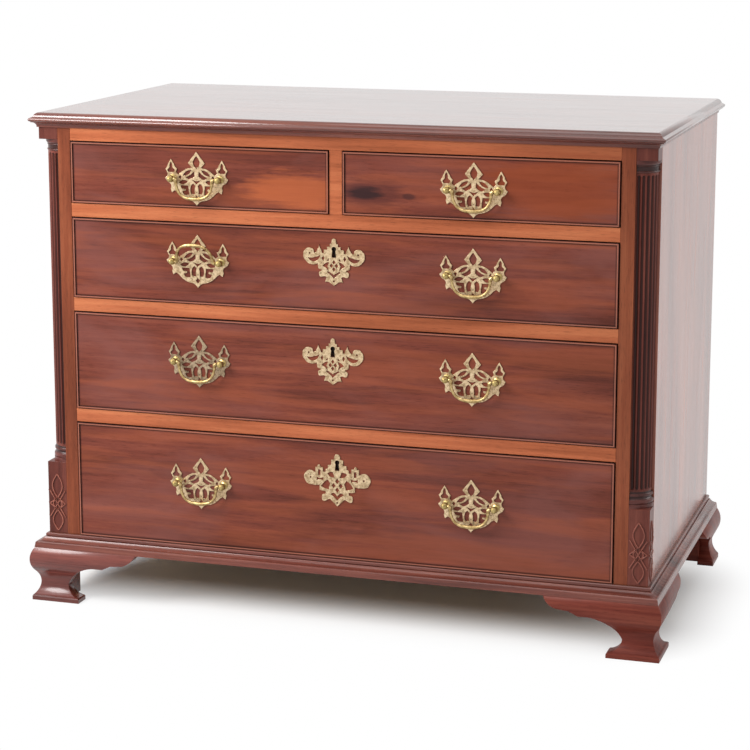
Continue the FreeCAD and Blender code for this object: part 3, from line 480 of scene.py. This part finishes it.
# How far the sharp edges of each kind of piece are rounded, in metres, which edges are sharp,
# and how near two points have to be to become one.
WOOD_ARRIS = 0.0006
BEAD_ROUNDING = 0.0012
PLATE_ARRIS = 0.0004
FINE_ARRIS = 0.0002
SHARP_ANGLE = math.radians(28)
WELD_REACH = 1e-5


def dress_nodes(materials):
    """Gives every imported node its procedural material, softened arrises and smooth arcs."""
    slots = {part["node"]: part["material_slot"] for part in frame["record"]["subparts"]}
    roundings = {"brass": FINE_ARRIS, "drawer_front": BEAD_ROUNDING}
    for name, node in frame["nodes"].items():
        chosen = name if name in materials else NODE_MATERIALS.get(name, slots[name])
        node.data.materials.clear()
        node.data.materials.append(materials[chosen])
        soften(node, roundings.get(slots[name], WOOD_ARRIS))


def soften(piece, width, harden=True):
    """Joins the facets of a piece and rounds its sharp edges a little."""
    weld = piece.modifiers.new("weld", "WELD")
    weld.merge_threshold = WELD_REACH
    bevel = piece.modifiers.new("bevel", "BEVEL")
    bevel.width = width
    bevel.segments = 2
    bevel.limit_method = "ANGLE"
    bevel.angle_limit = SHARP_ANGLE
    bevel.harden_normals = harden
    bevel.use_clamp_overlap = True


# ---------------------------------------------------------------- shapes

ON_THE_MIDDLE = 1e-6
STRIP_TOP = 0.7


def outline(corners, steps=6):
    """A closed loop of points. A corner is (across, up) or (across, up, bulge): the side that
    starts there swells to the left of its travel by that share of half its length."""
    points = []
    for index, corner in enumerate(corners):
        start = Vector(corner[:2])
        end = Vector(corners[(index + 1) % len(corners)][:2])
        bulge = corner[2] if len(corner) > 2 else 0
        left = Vector((start.y - end.y, end.x - start.x)) / 2
        count = steps if bulge else 1
        for step in range(count):
            share = step / count
            points.append(start.lerp(end, share) + left * (4 * share * (1 - share) * bulge))
    return points


def mirrored(points):
    """The same loop on the other side of the middle, still travelling the same way round."""
    return [Vector((-point.x, point.y)) for point in reversed(points)]


def both_halves(points):
    """A whole loop from the points of its right half, which run from its top to its foot."""
    return points + mirrored([point for point in points if point.x > ON_THE_MIDDLE])


def scaled(points, wide, tall):
    return [Vector((point.x * wide, point.y * tall)) for point in points]


def widened(points, amount):
    """A loop with every side moved outwards, to the left of its clockwise travel. A sharp
    corner moves by twice that amount at most."""
    moved = []
    for index, point in enumerate(points):
        before = (point - points[index - 1]).normalized()
        after = (points[(index + 1) % len(points)] - point).normalized()
        ahead = (before + after).normalized()
        lean = max(ahead.dot(after), 0.5)
        moved.append(point + Vector((-ahead.y, ahead.x)) * (amount / lean))
    return moved


def circle(across, up, radius, steps=10):
    angles = [math.tau * step / steps for step in range(steps)]
    return [Vector((across + radius * math.cos(angle), up + radius * math.sin(angle)))
            for angle in angles]


def casting(name, outer, voids, thickness):
    """The mesh of a flat pierced plate, its face towards -Y and its back at y = 0. Outlines are
    in millimetres. A void that lies right of the middle is repeated on the left."""
    loops = [outer]
    for void in voids:
        loops.append(void)
        if min(point.x for point in void) > 0:
            loops.append(mirrored(void))
    curve = bpy.data.curves.new(name, "CURVE")
    curve.dimensions = "2D"
    curve.fill_mode = "BOTH"
    curve.extrude = thickness * MM / 2
    for loop in loops:
        spline = curve.splines.new("POLY")
        spline.points.add(len(loop) - 1)
        for point, place in zip(spline.points, loop):
            point.co = (place.x * MM, place.y * MM, 0, 1)
        spline.use_cyclic_u = True
    holder = bpy.data.objects.new(name, curve)
    mesh = bpy.data.meshes.new_from_object(holder)
    bpy.data.objects.remove(holder)
    mesh.transform(Matrix.Rotation(QUARTER_TURN, 4, "X"))
    mesh.transform(Matrix.Translation((0, -thickness * MM / 2, 0)))
    return mesh


def skin(solid, rings):
    """Faces between neighbouring rings of as many points, with the two ends closed."""
    for ring, further in zip(rings, rings[1:]):
        for index in range(len(ring)):
            following = (index + 1) % len(ring)
            solid.faces.new((ring[index], ring[following], further[following], further[index]))
    solid.faces.new(reversed(rings[0]))
    solid.faces.new(rings[-1])


def turned(solid, profile, place, facets=20):
    """Adds a turned knob to a bmesh. The profile is (radius, distance out towards -Y), in
    millimetres, and the place is in metres."""
    rings = []
    for radius, out in profile:
        ring = []
        for facet in range(facets):
            angle = math.tau * facet / facets
            spot = Vector((radius * math.cos(angle), -out, radius * math.sin(angle))) * MM
            ring.append(solid.verts.new(Vector(place) + spot))
        rings.append(ring)
    skin(solid, rings)


def rod(solid, spine, facets=14):
    """Adds a round rod to a bmesh along a spine of (point in millimetres, radius), which lies
    in the XZ plane."""
    depth = Vector((0, 1, 0))
    rings = []
    for index, (point, radius) in enumerate(spine):
        before = spine[max(index - 1, 0)][0]
        after = spine[min(index + 1, len(spine) - 1)][0]
        side = (after - before).normalized().cross(depth)
        ring = []
        for facet in range(facets):
            angle = math.tau * facet / facets
            spot = point + (side * math.cos(angle) + depth * math.sin(angle)) * radius
            ring.append(solid.verts.new(spot * MM))
        rings.append(ring)
    skin(solid, rings)


def ribbon(solid, path, half_width, low, high, spot):
    """Adds a raised strip to a bmesh along a path of flat (across, up) points, from one height
    to another, where it is narrower. The function spot gives a point's place from its distance
    across, up and out."""
    corners = ((1, low), (STRIP_TOP, high), (-STRIP_TOP, high), (-1, low))
    rings = []
    for index, point in enumerate(path):
        ahead = (path[min(index + 1, len(path) - 1)] - path[max(index - 1, 0)]).normalized()
        side = Vector((-ahead.y, ahead.x))
        rings.append([
            solid.verts.new(spot(*(point + side * half_width * share), out) * MM)
            for share, out in corners
        ])
    skin(solid, rings)


def as_mesh(name, solid):
    bmesh.ops.recalc_face_normals(solid, faces=solid.faces)
    mesh = bpy.data.meshes.new(name)
    solid.to_mesh(mesh)
    solid.free()
    return mesh


def add_piece(name, mesh, material, body, replaced=(), place=(0, 0, 0), arris=FINE_ARRIS,
              smooth=True):
    """Stands a finished mesh in the scene as a piece that rides on a body."""
    mesh.materials.clear()
    mesh.materials.append(material)
    for face in mesh.polygons:
        face.use_smooth = smooth
    piece = bpy.data.objects.new(name, mesh)
    piece.location = place
    SCENE.collection.objects.link(piece)
    soften(piece, arris, smooth)
    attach(piece, body)
    if replaced:
        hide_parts(*replaced)


# ---------------------------------------------------------------- the brasses

# Half outlines of the castings, in millimetres from the line of the posts or the keyhole,
# running clockwise from the top. Voids run clockwise too.
PLATE = [
    (0, 46.5), (15, 27), (7.8, 18.6), (16, 17.4, 0.1), (33, 6.2), (37.4, 10.2), (35.4, 16.4, -0.2),
    (40.4, 23.4), (46.2, 33), (52, 23, -0.2), (56.2, 15.6), (52.4, 8.6, -0.35), (57, 0.5, 0.15),
    (52, -7, -0.3), (45.8, -14), (47, -18.5), (45, -25), (39.5, -21.2), (34.5, -24.5, 0.22),
    (8.5, -38.8, -0.15), (0, -46.5),
]
PLATE_VOIDS = [
    [(0, 38.6, 0.1), (6, 28.6, 0.1), (3.6, 21.6, -0.1), (0, 17.4, -0.1), (-3.6, 21.6, 0.1),
     (-6, 28.6, 0.1)],
    [(46.2, 27.4, 0.2), (48.2, 19.8, -0.3), (52, 14.8, 0.3), (50.4, 10.6), (41.6, 10.8, 0.3),
     (40.2, 15, -0.3), (44.2, 20, 0.2)],
    [(9.6, 14.4, 0.3), (24.2, 5.2, 0.34)],
    [(29.8, 5), (31.8, 2), (29.6, -0.8), (27.6, 2)],
    [(4.6, 12, -0.15), (19.2, 1.8), (13.4, -1.2, 0.1), (4, 4.4)],
    [(0, -9.2), (-7.8, -2.2, -0.15), (0, -4.6, -0.15), (7.8, -2.2)],
    [(16.6, -5, 0.42), (31.4, -7.8, 0.42)],
    [(6.2, -9, 0.25), (10.8, -17, 0.15), (8.8, -26.4), (3.6, -26, -0.15), (2.6, -13)],
    [(15.8, -12.6), (28.4, -12.8, 0.2), (26, -17.4), (19.8, -17.6, -0.6), (20.6, -22),
     (25, -22.4, 0.2), (22, -28), (14.2, -28.4, 0.05)],
    [(0, -30), (3.6, -34), (0, -38), (-3.6, -34)],
]
SCROLLED = [
    (0, 23.5, 0.5), (3.6, 18.6, 0.5), (3.2, 14.8), (7.3, 13.8), (7.3, 9), (12, 9), (12, 4), (18, 4),
    (18, -2), (21.5, -2), (23, 4, -0.2), (26.6, 12.5, -0.2), (29.6, 3), (31, 0), (34.5, -2.6, -0.3),
    (36.5, 2.6, 0.3), (43.5, 6, 0.35), (51.5, 2.4, 0.3), (54.8, -5, 0.3), (51, -15.5, 0.25),
    (40, -22, 0.2), (29, -19.5), (28, -28, 0.2), (22, -30, -0.4), (23.5, -33, 0.6), (26.5, -38, 0.7),
    (20, -42, -0.3), (13, -43), (16, -51.4, -0.25), (8, -51.4), (0, -57),
]
SCROLLED_VOIDS = [
    [(24, -5, -0.2), (33.5, -9, -0.2), (46.5, -10.5, 0.3), (36, -17, 0.3)],
    [(19.2, -7), (22, -11), (19.2, -15.5), (17.2, -11)],
    [(9, -10.5), (13, -14.8), (9.4, -14.8)],
    [(9.5, -17, 0.2), (20, -24, -0.2), (10, -31.5, 0.2), (12.4, -24, 0.2)],
    [(0, -13.4), (2.7, -17), (0, -20.6), (-2.7, -17)],
    [(4.6, -19.4), (7.3, -23), (4.6, -26.6), (1.9, -23)],
    [(0, -25.4), (2.7, -29), (0, -32.6), (-2.7, -29)],
    [(0, -45, -0.1), (-12.5, -34, 0.4), (-5.5, -36, 0.2), (0, -39.5, 0.2), (5.5, -36, 0.4),
     (12.5, -34, -0.1)],
]
EARED = [
    (0, 19, 0.4), (4.6, 15.6, 0.5), (3.8, 11), (10.5, 9), (10.5, 0.6), (16.5, 0), (16.5, -6),
    (20.5, -7), (20.5, -12), (25.6, -12), (25.6, -4.6), (29.4, -4.6), (32, 0, 0.5), (35, -4.6),
    (38.8, -4.6), (38.8, -14.4), (44, -11.4, 0.35), (56, -14.5, 0.4), (57.6, -27.5, 0.4),
    (45, -34.8, 0.15), (31.5, -34), (31.5, -43, 0.1), (21, -44.5, -0.4), (21.6, -49.5, 0.6),
    (27.4, -55, 0.8), (20, -60.4, -0.1), (13, -57), (0, -69),
]
EARED_VOIDS = [
    [(30, -9), (34, -9), (34, -18), (30, -18)],
    [(25, -21.5, -0.3), (36.5, -21.5), (36.5, -26.6, -0.3), (25, -26.6)],
    [(8, -11.5, 0.2), (17.5, -14.5), (13.5, -19, 0.1), (4.6, -20.4)],
    [(16.5, -24.6, 0.15), (28.6, -36.8, 0.1), (15, -40.8, -0.2), (12.5, -31.5)],
    [(0, -22.4), (3.4, -26.6), (0, -30.8), (-3.4, -26.6)],
    [(6.5, -29.8), (9.9, -34), (6.5, -38.2), (3.1, -34)],
    [(0, -37.2), (3.4, -41.4), (0, -45.6), (-3.4, -41.4)],
    [(0, -59, -0.1), (-11.5, -49.5, 0.3), (-5.5, -46.8, 0.1), (0, -53, 0.1), (5.5, -46.8, 0.3),
     (11.5, -49.5, -0.1)],
]

# Each escutcheon's half outline, its voids, and the places of its pins on the right half.
SCROLLED_PINS = [(43.6, -3), (0, -49.6)]
EARED_PINS = [(47.5, -22.5), (0, -63.2)]
ESCUTCHEONS = {
    "upper_long": (SCROLLED, SCROLLED_VOIDS, SCROLLED_PINS),
    "middle_long": (SCROLLED, SCROLLED_VOIDS, SCROLLED_PINS),
    "lower_long": (EARED, EARED_VOIDS, EARED_PINS),
}
PIN_RADIUS = 1.7

# A keyhole: a round eye over a slot that flares to its foot. Neck and foot are half widths.
EYE_RADIUS = 4.1
EYE_RISE = 5.2
EYE_STEPS = 14
SLOT_NECK = 2.8
SLOT_FOOT = 4
SLOT_DROP = 9

PLATE_THICKNESS = 1.6
PLATE_VOID_MARGIN = 0.55
ESCUTCHEON_VOID_MARGIN = 0.275

# A post and its nut, as (radius, distance out from the back of the plate).
POST_PROFILE = [
    (6.6, 1.5), (6.6, 2.3), (5.4, 3.2), (3.6, 4.4), (3.4, 6.6), (4.2, 8), (5.4, 9.8), (5.9, 12),
    (5.8, 14.6), (5.1, 16.6), (4.2, 17.3), (4.1, 18), (2.8, 19), (0.8, 19.4),
]
NUT_PROFILE = [(5, -20.1), (5, -23.4), (2.4, -23.8), (2.4, -25.6), (0.6, -25.8)]
NUT_SIDES = 6

# From the back of the plate out to the bail's axis, and from post to post.
POST_REACH = 14
POST_SPACING = 84

# A bail: an oval drop between two knuckles, each with a pin that runs into its post. Its end
# is (distance past the drop's half spread, up, radius), from the tip of the pin inwards.
BAIL_HALF_SPREAD = 32
BAIL_DROP = 32.5
BAIL_SQUARENESS = 2.7
BAIL_WAIST = 2.35
BAIL_BELLY = 3.3
BAIL_KNUCKLE = 3.7
BAIL_PIN = 1.9
BAIL_END = [
    (11, 0, BAIL_PIN), (4.4, 0, BAIL_PIN), (4.2, 0, BAIL_KNUCKLE * 0.8), (2.6, 0, BAIL_KNUCKLE),
    (0.6, -1.2, BAIL_KNUCKLE * 0.95),
]
BAIL_STEPS = 15
BAIL_FIRST_ANGLE = 7
GRIP_SHARE = 0.6

# In the photograph one bail stands flipped up, and one handle is duller than the others.
RAISED_BAIL = "upper_long_left_bail"
RAISED_ANGLE = math.radians(-160)
DULL_HANDLE = "middle_long_left_bail"


def keyhole():
    points = [Vector((SLOT_FOOT, -SLOT_DROP)), Vector((-SLOT_FOOT, -SLOT_DROP))]
    neck = math.acos(SLOT_NECK / EYE_RADIUS)
    for step in range(EYE_STEPS + 1):
        angle = math.pi + neck - (math.pi + 2 * neck) * step / EYE_STEPS
        rise = EYE_RISE + EYE_RADIUS * math.sin(angle)
        points.append(Vector((EYE_RADIUS * math.cos(angle), rise)))
    return points


def fit(node, corners):
    """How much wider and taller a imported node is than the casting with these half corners."""
    lowest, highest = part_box(node)
    wide = (highest.x - lowest.x) / (2 * MM * max(corner[0] for corner in corners))
    tall = (highest.z - lowest.z) / (MM * (corners[0][1] - corners[-1][1]))
    return wide, tall


def fitted_casting(name, corners, voids, size, margin, thickness, holes=()):
    """A casting stretched by a size from fit, with its voids then widened by a margin. The
    holes keep the size that they are given in."""
    outer = scaled(both_halves(outline(corners)), *size)
    openings = [widened(scaled(outline(void), *size), margin) for void in voids]
    return casting(name, outer, [*openings, *holes], thickness)


def bail_spine():
    """The line of a bail from pin to pin, with its radius: an oval drop that is thickest in
    the middle of its grip and has a knuckle against each post."""
    half = BAIL_HALF_SPREAD
    right = [(half + past, up, radius) for past, up, radius in BAIL_END]
    for step in range(1, BAIL_STEPS + 1):
        angle = math.radians(BAIL_FIRST_ANGLE + (90 - BAIL_FIRST_ANGLE) * step / BAIL_STEPS)
        across = half * math.cos(angle) ** (2 / BAIL_SQUARENESS) if step < BAIL_STEPS else 0
        up = -BAIL_DROP * math.sin(angle) ** (2 / BAIL_SQUARENESS)
        grip = max(0, 1 - (across / (GRIP_SHARE * half)) ** 2)
        right.append((across, up, BAIL_WAIST + (BAIL_BELLY - BAIL_WAIST) * grip))
    left = [(-across, up, radius) for across, up, radius in reversed(right[:-1])]
    return [(Vector((across, 0, up)), radius) for across, up, radius in right + left]


def make_handle(joint, materials):
    """The pierced plate, two posts with their nuts, and the bail of one handle. All handles
    are alike, so the only handle of a short drawer gives the size of their plates."""
    name = joint["child"]
    drawer = joint["parent"]
    node = drawer.replace("_drawer", "_handles")
    across, axis_depth, level = joint["pos_m"]
    back = (across, axis_depth + POST_REACH * MM, level)
    size = fit("left_short_handles", PLATE)
    plate = fitted_casting(f"{name}_plate", PLATE, PLATE_VOIDS, size, PLATE_VOID_MARGIN,
                           PLATE_THICKNESS)
    metal = materials["dull_brass" if name == DULL_HANDLE else "brass"]
    add_piece(f"{name}_plate", plate, metal, drawer, [node], back, PLATE_ARRIS,
              smooth=False)

    posts = bmesh.new()
    for side in (-1, 1):
        spot = (side * POST_SPACING * MM / 2, 0, 0)
        turned(posts, POST_PROFILE, spot)
        turned(posts, NUT_PROFILE, spot, NUT_SIDES)
    mesh = as_mesh(f"{name}_posts", posts)
    add_piece(f"{name}_posts", mesh, materials["post_brass"], drawer, [node], back)

    grip = bmesh.new()
    rod(grip, bail_spine())
    mesh = as_mesh(f"{name}_grip", grip)
    if name == RAISED_BAIL:
        mesh.transform(Matrix.Rotation(RAISED_ANGLE, 4, "X"))
    add_piece(f"{name}_grip", mesh, materials["bail_brass"], name, [name], joint["pos_m"])


def key_place(drawer):
    """The middle of a drawer's keyhole, on the face of the drawer."""
    lowest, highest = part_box(f"{drawer}_escutcheon")
    corners = ESCUTCHEONS[drawer][0]
    above = corners[0][1] / (corners[0][1] - corners[-1][1])
    return ((lowest.x + highest.x) / 2, highest.y, highest.z - (highest.z - lowest.z) * above)


def make_escutcheon(drawer, corners, voids, pins, materials):
    """A pierced plate round a keyhole, with holes for the small pins that hold it."""
    node = f"{drawer}_escutcheon"
    name = f"{drawer}_key_plate"
    wide, tall = fit(node, corners)
    holes = [keyhole(), *(circle(across * wide, up * tall, PIN_RADIUS) for across, up in pins)]
    lowest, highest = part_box(node)
    thickness = (highest.y - lowest.y) / MM
    plate = fitted_casting(name, corners, voids, (wide, tall), ESCUTCHEON_VOID_MARGIN,
                           thickness, holes)
    add_piece(name, plate, materials["brass"], f"{drawer}_drawer", [node],
              key_place(drawer), PLATE_ARRIS, smooth=False)


def make_brasses(materials):
    for joint in frame["joints"]:
        if joint["name"].endswith("_bail_swing"):
            make_handle(joint, materials)
    for drawer, (corners, voids, pins) in ESCUTCHEONS.items():
        make_escutcheon(drawer, corners, voids, pins, materials)


# ---------------------------------------------------------------- the corner columns

HANDS = (("right", 1), ("left", -1))
FLUTES = 6
FLUTE_HALF_WIDTH = 2.8
FLUTE_DEPTH = 2.6
FLUTE_MARGIN = 3.5
FACETS_IN_FLUTE = 12
ROWS_IN_ARCH = 6
RING_FACETS = 24


def quarter_solid(levels, radius_at, hand, facets):
    """A closed quarter round about the origin, from the front round to the side. The function
    radius_at gives its radius in millimetres from a level's index and an angle."""
    solid = bmesh.new()
    rings = []
    for index, level in enumerate(levels):
        ring = [solid.verts.new((0, 0, level * MM))]
        for facet in range(facets + 1):
            angle = QUARTER_TURN * facet / facets
            radius = radius_at(index, angle) * MM
            spot = (hand * radius * math.sin(angle), -radius * math.cos(angle), level * MM)
            ring.append(solid.verts.new(spot))
        rings.append(ring)
    skin(solid, rings)
    return solid


def make_shaft(side, hand, materials):
    """A quarter column whose flutes end in round arches at the top and the foot."""
    node = f"column_shaft_{side}"
    lowest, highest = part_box(node)
    centre = (lowest.x if hand > 0 else highest.x, highest.y, lowest.z)
    height = (highest.z - lowest.z) / MM
    full = (highest.x - lowest.x) / MM
    first = FLUTE_MARGIN
    last = height - FLUTE_MARGIN
    arch = [FLUTE_HALF_WIDTH * (1 - math.cos(QUARTER_TURN * step / ROWS_IN_ARCH))
            for step in range(ROWS_IN_ARCH + 1)]
    levels = [0, *(first + rise for rise in arch), *(last - rise for rise in reversed(arch)), height]
    pitch = QUARTER_TURN / FLUTES

    def radius_at(index, angle):
        level = levels[index]
        flute = min(math.floor(angle / pitch), FLUTES - 1)
        across = full * (angle - (flute + 0.5) * pitch)
        along = max(first + FLUTE_HALF_WIDTH - level, level - last + FLUTE_HALF_WIDTH, 0)
        away = math.hypot(across, along) / FLUTE_HALF_WIDTH
        return full - FLUTE_DEPTH * math.sqrt(max(0, 1 - away * away))

    solid = quarter_solid(levels, radius_at, hand, FACETS_IN_FLUTE * FLUTES)
    name = f"fluted_shaft_{side}"
    add_piece(name, as_mesh(name, solid), materials["shaft_wood"], "carcase",
              [node], centre)


def make_rings(node, profile, materials):
    """The pair of turned quarter rings at one end of the shafts."""
    lowest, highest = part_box(node)
    shaft_low, shaft_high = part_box("column_shaft_right")
    shaft = (shaft_high.x - shaft_low.x) / MM
    reach = (highest.x - shaft_low.x) / MM - shaft
    height = (highest.z - lowest.z) / MM
    levels = [share * height for _, share in profile]

    def radius_at(index, angle):
        return shaft + profile[index][0] * reach

    for side, hand in HANDS:
        name = f"{node}_{side}_rings"
        solid = quarter_solid(levels, radius_at, hand, RING_FACETS)
        centre = (hand * shaft_low.x, shaft_high.y, lowest.z)
        add_piece(name, as_mesh(name, solid), materials["ring_wood"], "carcase",
                  [node], centre)


def half_round(low, high, inner, out, steps=6):
    """The points of a bead between two heights, from an inner reach to an outer one."""
    points = []
    for step in range(steps + 1):
        angle = math.pi * step / steps
        reach = inner + (out - inner) * math.sin(angle)
        points.append((reach, low + (high - low) * (1 - math.cos(angle)) / 2))
    return points


# Profiles of the rings from the foot up: (share of the reach past the shaft, share of the height).
CAPITAL_PROFILE = (
    half_round(0.0, 0.17, 0.05, 0.55) + [(0.06, 0.18), (0.02, 0.46)]
    + half_round(0.48, 0.58, 0.1, 0.45, 4) + [(0.35, 0.59), (0.9, 0.72), (1, 0.74), (1, 1)]
)
BASE_PROFILE = (
    [(1, 0), (1, 0.24)] + half_round(0.26, 0.54, 0.55, 1.0) + [(0.4, 0.56), (0.15, 0.62), (0.15, 0.68)]
    + half_round(0.7, 0.92, 0.2, 0.7) + [(0, 0.94), (0, 1)]
)

# The blind fret on the plinth blocks: two interlaced lines of loops with a net of straight
# strips beside them. A loop runs between two heights, as shares of the block's height, and
# swings out by a share of its width. A strip has its two heights and two distances out.
FRET_LOOPS = [(0.83, 0.50, 0.27), (0.50, 0.33, 0.24), (0.33, 0.04, 0.27)]
FRET_NET = [
    (0.60, 0.415, 0.42, 0), (0.50, 0.415, 0, 0.42), (0.415, 0.33, 0.42, 0), (0.415, 0.23, 0, 0.42),
]
STEPS_IN_LOOP = 12
FRET_HALF_WIDTH = 1.1
FRET_RISE = 1.8
FRET_SINK = -0.4


def fret_lines(width, height):
    """Flat lines of the fret, across from the middle of a face and up from its foot."""
    lines = []
    for hand in (-1, 1):
        for top, foot, swing in FRET_LOOPS:
            lines.append([
                Vector((hand * swing * width * math.sin(math.pi * step / STEPS_IN_LOOP),
                        height * (top + (foot - top) * step / STEPS_IN_LOOP)))
                for step in range(STEPS_IN_LOOP + 1)
            ])
        for top, foot, out_at_top, out_at_foot in FRET_NET:
            lines.append([
                Vector((hand * out_at_top * width, top * height)),
                Vector((hand * out_at_foot * width, foot * height)),
            ])
    return lines


def make_frets(materials):
    """Thin fretwork applied to the front and the outer side of each plinth block."""
    lowest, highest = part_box("plinth_blocks")
    shaft_low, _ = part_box("column_shaft_right")
    width = (highest.x - shaft_low.x) / MM
    height = (highest.z - lowest.z) / MM
    front = lowest.y / MM
    edge = highest.x / MM
    foot = lowest.z / MM
    for side, hand in HANDS:
        def on_front(across, up, out):
            return Vector((hand * (edge - width / 2) + across, front - out, foot + up))

        def on_side(across, up, out):
            return Vector((hand * (edge + out), front + width / 2 + across, foot + up))

        solid = bmesh.new()
        for spot in (on_front, on_side):
            for line in fret_lines(width, height):
                ribbon(solid, line, FRET_HALF_WIDTH, FRET_SINK, FRET_RISE, spot)
        name = f"blind_fret_{side}"
        add_piece(name, as_mesh(name, solid), materials["fret_wood"], "carcase")


def make_columns(materials):
    for side, hand in HANDS:
        make_shaft(side, hand, materials)
    make_rings("column_capitals", CAPITAL_PROFILE, materials)
    make_rings("column_bases", BASE_PROFILE, materials)
    make_frets(materials)


# ---------------------------------------------------------------- studio

WHITE = (1, 1, 1, 1)
SKY_LIGHT = 0.29

# The floor is paper. It is lit paper inside a box under the chest and fades to pure white from
# the edges of that box, over a distance for each side and one for both front and back.
FLOOR_HALF_SIZE = 30
FLOOR_DROP = 0.0003
SHADED_PAPER = (0.80, 0.87, 0.96, 1)
LIT_PAPER = (0.90, 0.90, 0.90, 1)
PAPER_RIGHT_EDGE = 0.48
PAPER_LEFT_EDGE = -0.50
PAPER_HALF_DEPTH = 0.10
FADE_RIGHT = 0.18
FADE_LEFT = 0.06
FADE_DEPTH = 0.26

# Lamps: the place, the point aimed at, the width of the disc and the power in watts.
LAMPS = {
    "key": ((-1.9, -1.7, 1.95), (-0.3, 0, 0.4), 1.5, 92),
    "overhead": ((0.2, -1.0, 3.4), (0, 0, 0.4), 2.4, 28),
    "right_fill": ((3.2, 1.0, 1.7), (0.5, 0.1, 0.4), 1.8, 38),
}


def paper_material():
    """Paper that shows pure white to the camera and in reflections, except near the chest,
    where it is lit paper that takes the chest's shadow."""
    shader = Shader("floor")
    shader.set(Roughness=0.95, Specular_IOR_Level=0.0)
    spot = shader.node("ShaderNodeSeparateXYZ", {"Vector": shader.place}).outputs
    right = shader.math("DIVIDE", shader.math("SUBTRACT", spot["X"], PAPER_RIGHT_EDGE), FADE_RIGHT)
    left = shader.math("DIVIDE", shader.math("SUBTRACT", PAPER_LEFT_EDGE, spot["X"]), FADE_LEFT)
    across = shader.math("MAXIMUM", shader.math("MAXIMUM", right, left), 0)
    along = shader.math("SUBTRACT", shader.math("ABSOLUTE", spot["Y"]), PAPER_HALF_DEPTH)
    along = shader.math("DIVIDE", shader.math("MAXIMUM", along, 0), FADE_DEPTH)
    squares = shader.math("ADD", shader.math("POWER", across, 2), shader.math("POWER", along, 2))
    away = shader.math("SQRT", squares)
    shader.link(shader.ramp(away, (0.0, SHADED_PAPER), (0.3, LIT_PAPER)), "Base Color")
    white = shader.node("ShaderNodeMapRange", {"Value": away}, interpolation_type="SMOOTHSTEP")
    share = shader.math("MULTIPLY", shader.looked_at(), white.outputs[0])
    glow = shader.node("ShaderNodeEmission", {"Color": WHITE, "Strength": 1.0}).outputs[0]
    sources = {0: share, 1: shader.surface.outputs[0], 2: glow}
    mix = shader.node("ShaderNodeMixShader", sources).outputs[0]
    shader.tree.links.new(mix, shader.tree.nodes["Material Output"].inputs["Surface"])
    return shader.material


def make_floor():
    grid = bmesh.new()
    bmesh.ops.create_grid(grid, x_segments=1, y_segments=1, size=FLOOR_HALF_SIZE)
    mesh = bpy.data.meshes.new("floor")
    grid.to_mesh(mesh)
    grid.free()
    mesh.materials.append(paper_material())
    floor = bpy.data.objects.new("floor", mesh)
    floor.location = (0, 0, -FLOOR_DROP)
    SCENE.collection.objects.link(floor)


def make_world():
    """White wherever it is looked at or mirrored, and a soft even sky as a light."""
    world = bpy.data.worlds.new("studio")
    SCENE.world = world
    world.use_nodes = True
    world.node_tree.nodes.clear()
    tree = Tree(world.node_tree)
    sky = tree.node("ShaderNodeBackground", {"Color": WHITE, "Strength": SKY_LIGHT}).outputs[0]
    white = tree.node("ShaderNodeBackground", {"Color": WHITE, "Strength": 1.0}).outputs[0]
    mix = tree.node("ShaderNodeMixShader", {0: tree.looked_at(), 1: sky, 2: white}).outputs[0]
    tree.node("ShaderNodeOutputWorld", {"Surface": mix})


def make_lights():
    for name, (place, aim, size, power) in LAMPS.items():
        data = bpy.data.lights.new(name, "AREA")
        data.shape = "DISK"
        data.size = size
        data.energy = power
        lamp = bpy.data.objects.new(name, data)
        SCENE.collection.objects.link(lamp)
        lamp.location = place
        lamp.rotation_mode = "QUATERNION"
        lamp.rotation_quaternion = (Vector(aim) - Vector(place)).to_track_quat("-Z", "Y")


# ---------------------------------------------------------------- the whole picture


def main():
    make_camera()
    materials = make_materials()
    dress_nodes(materials)
    make_brasses(materials)
    make_columns(materials)
    make_floor()
    make_world()
    make_lights()
    SCENE.view_settings.view_transform = "Standard"


main()
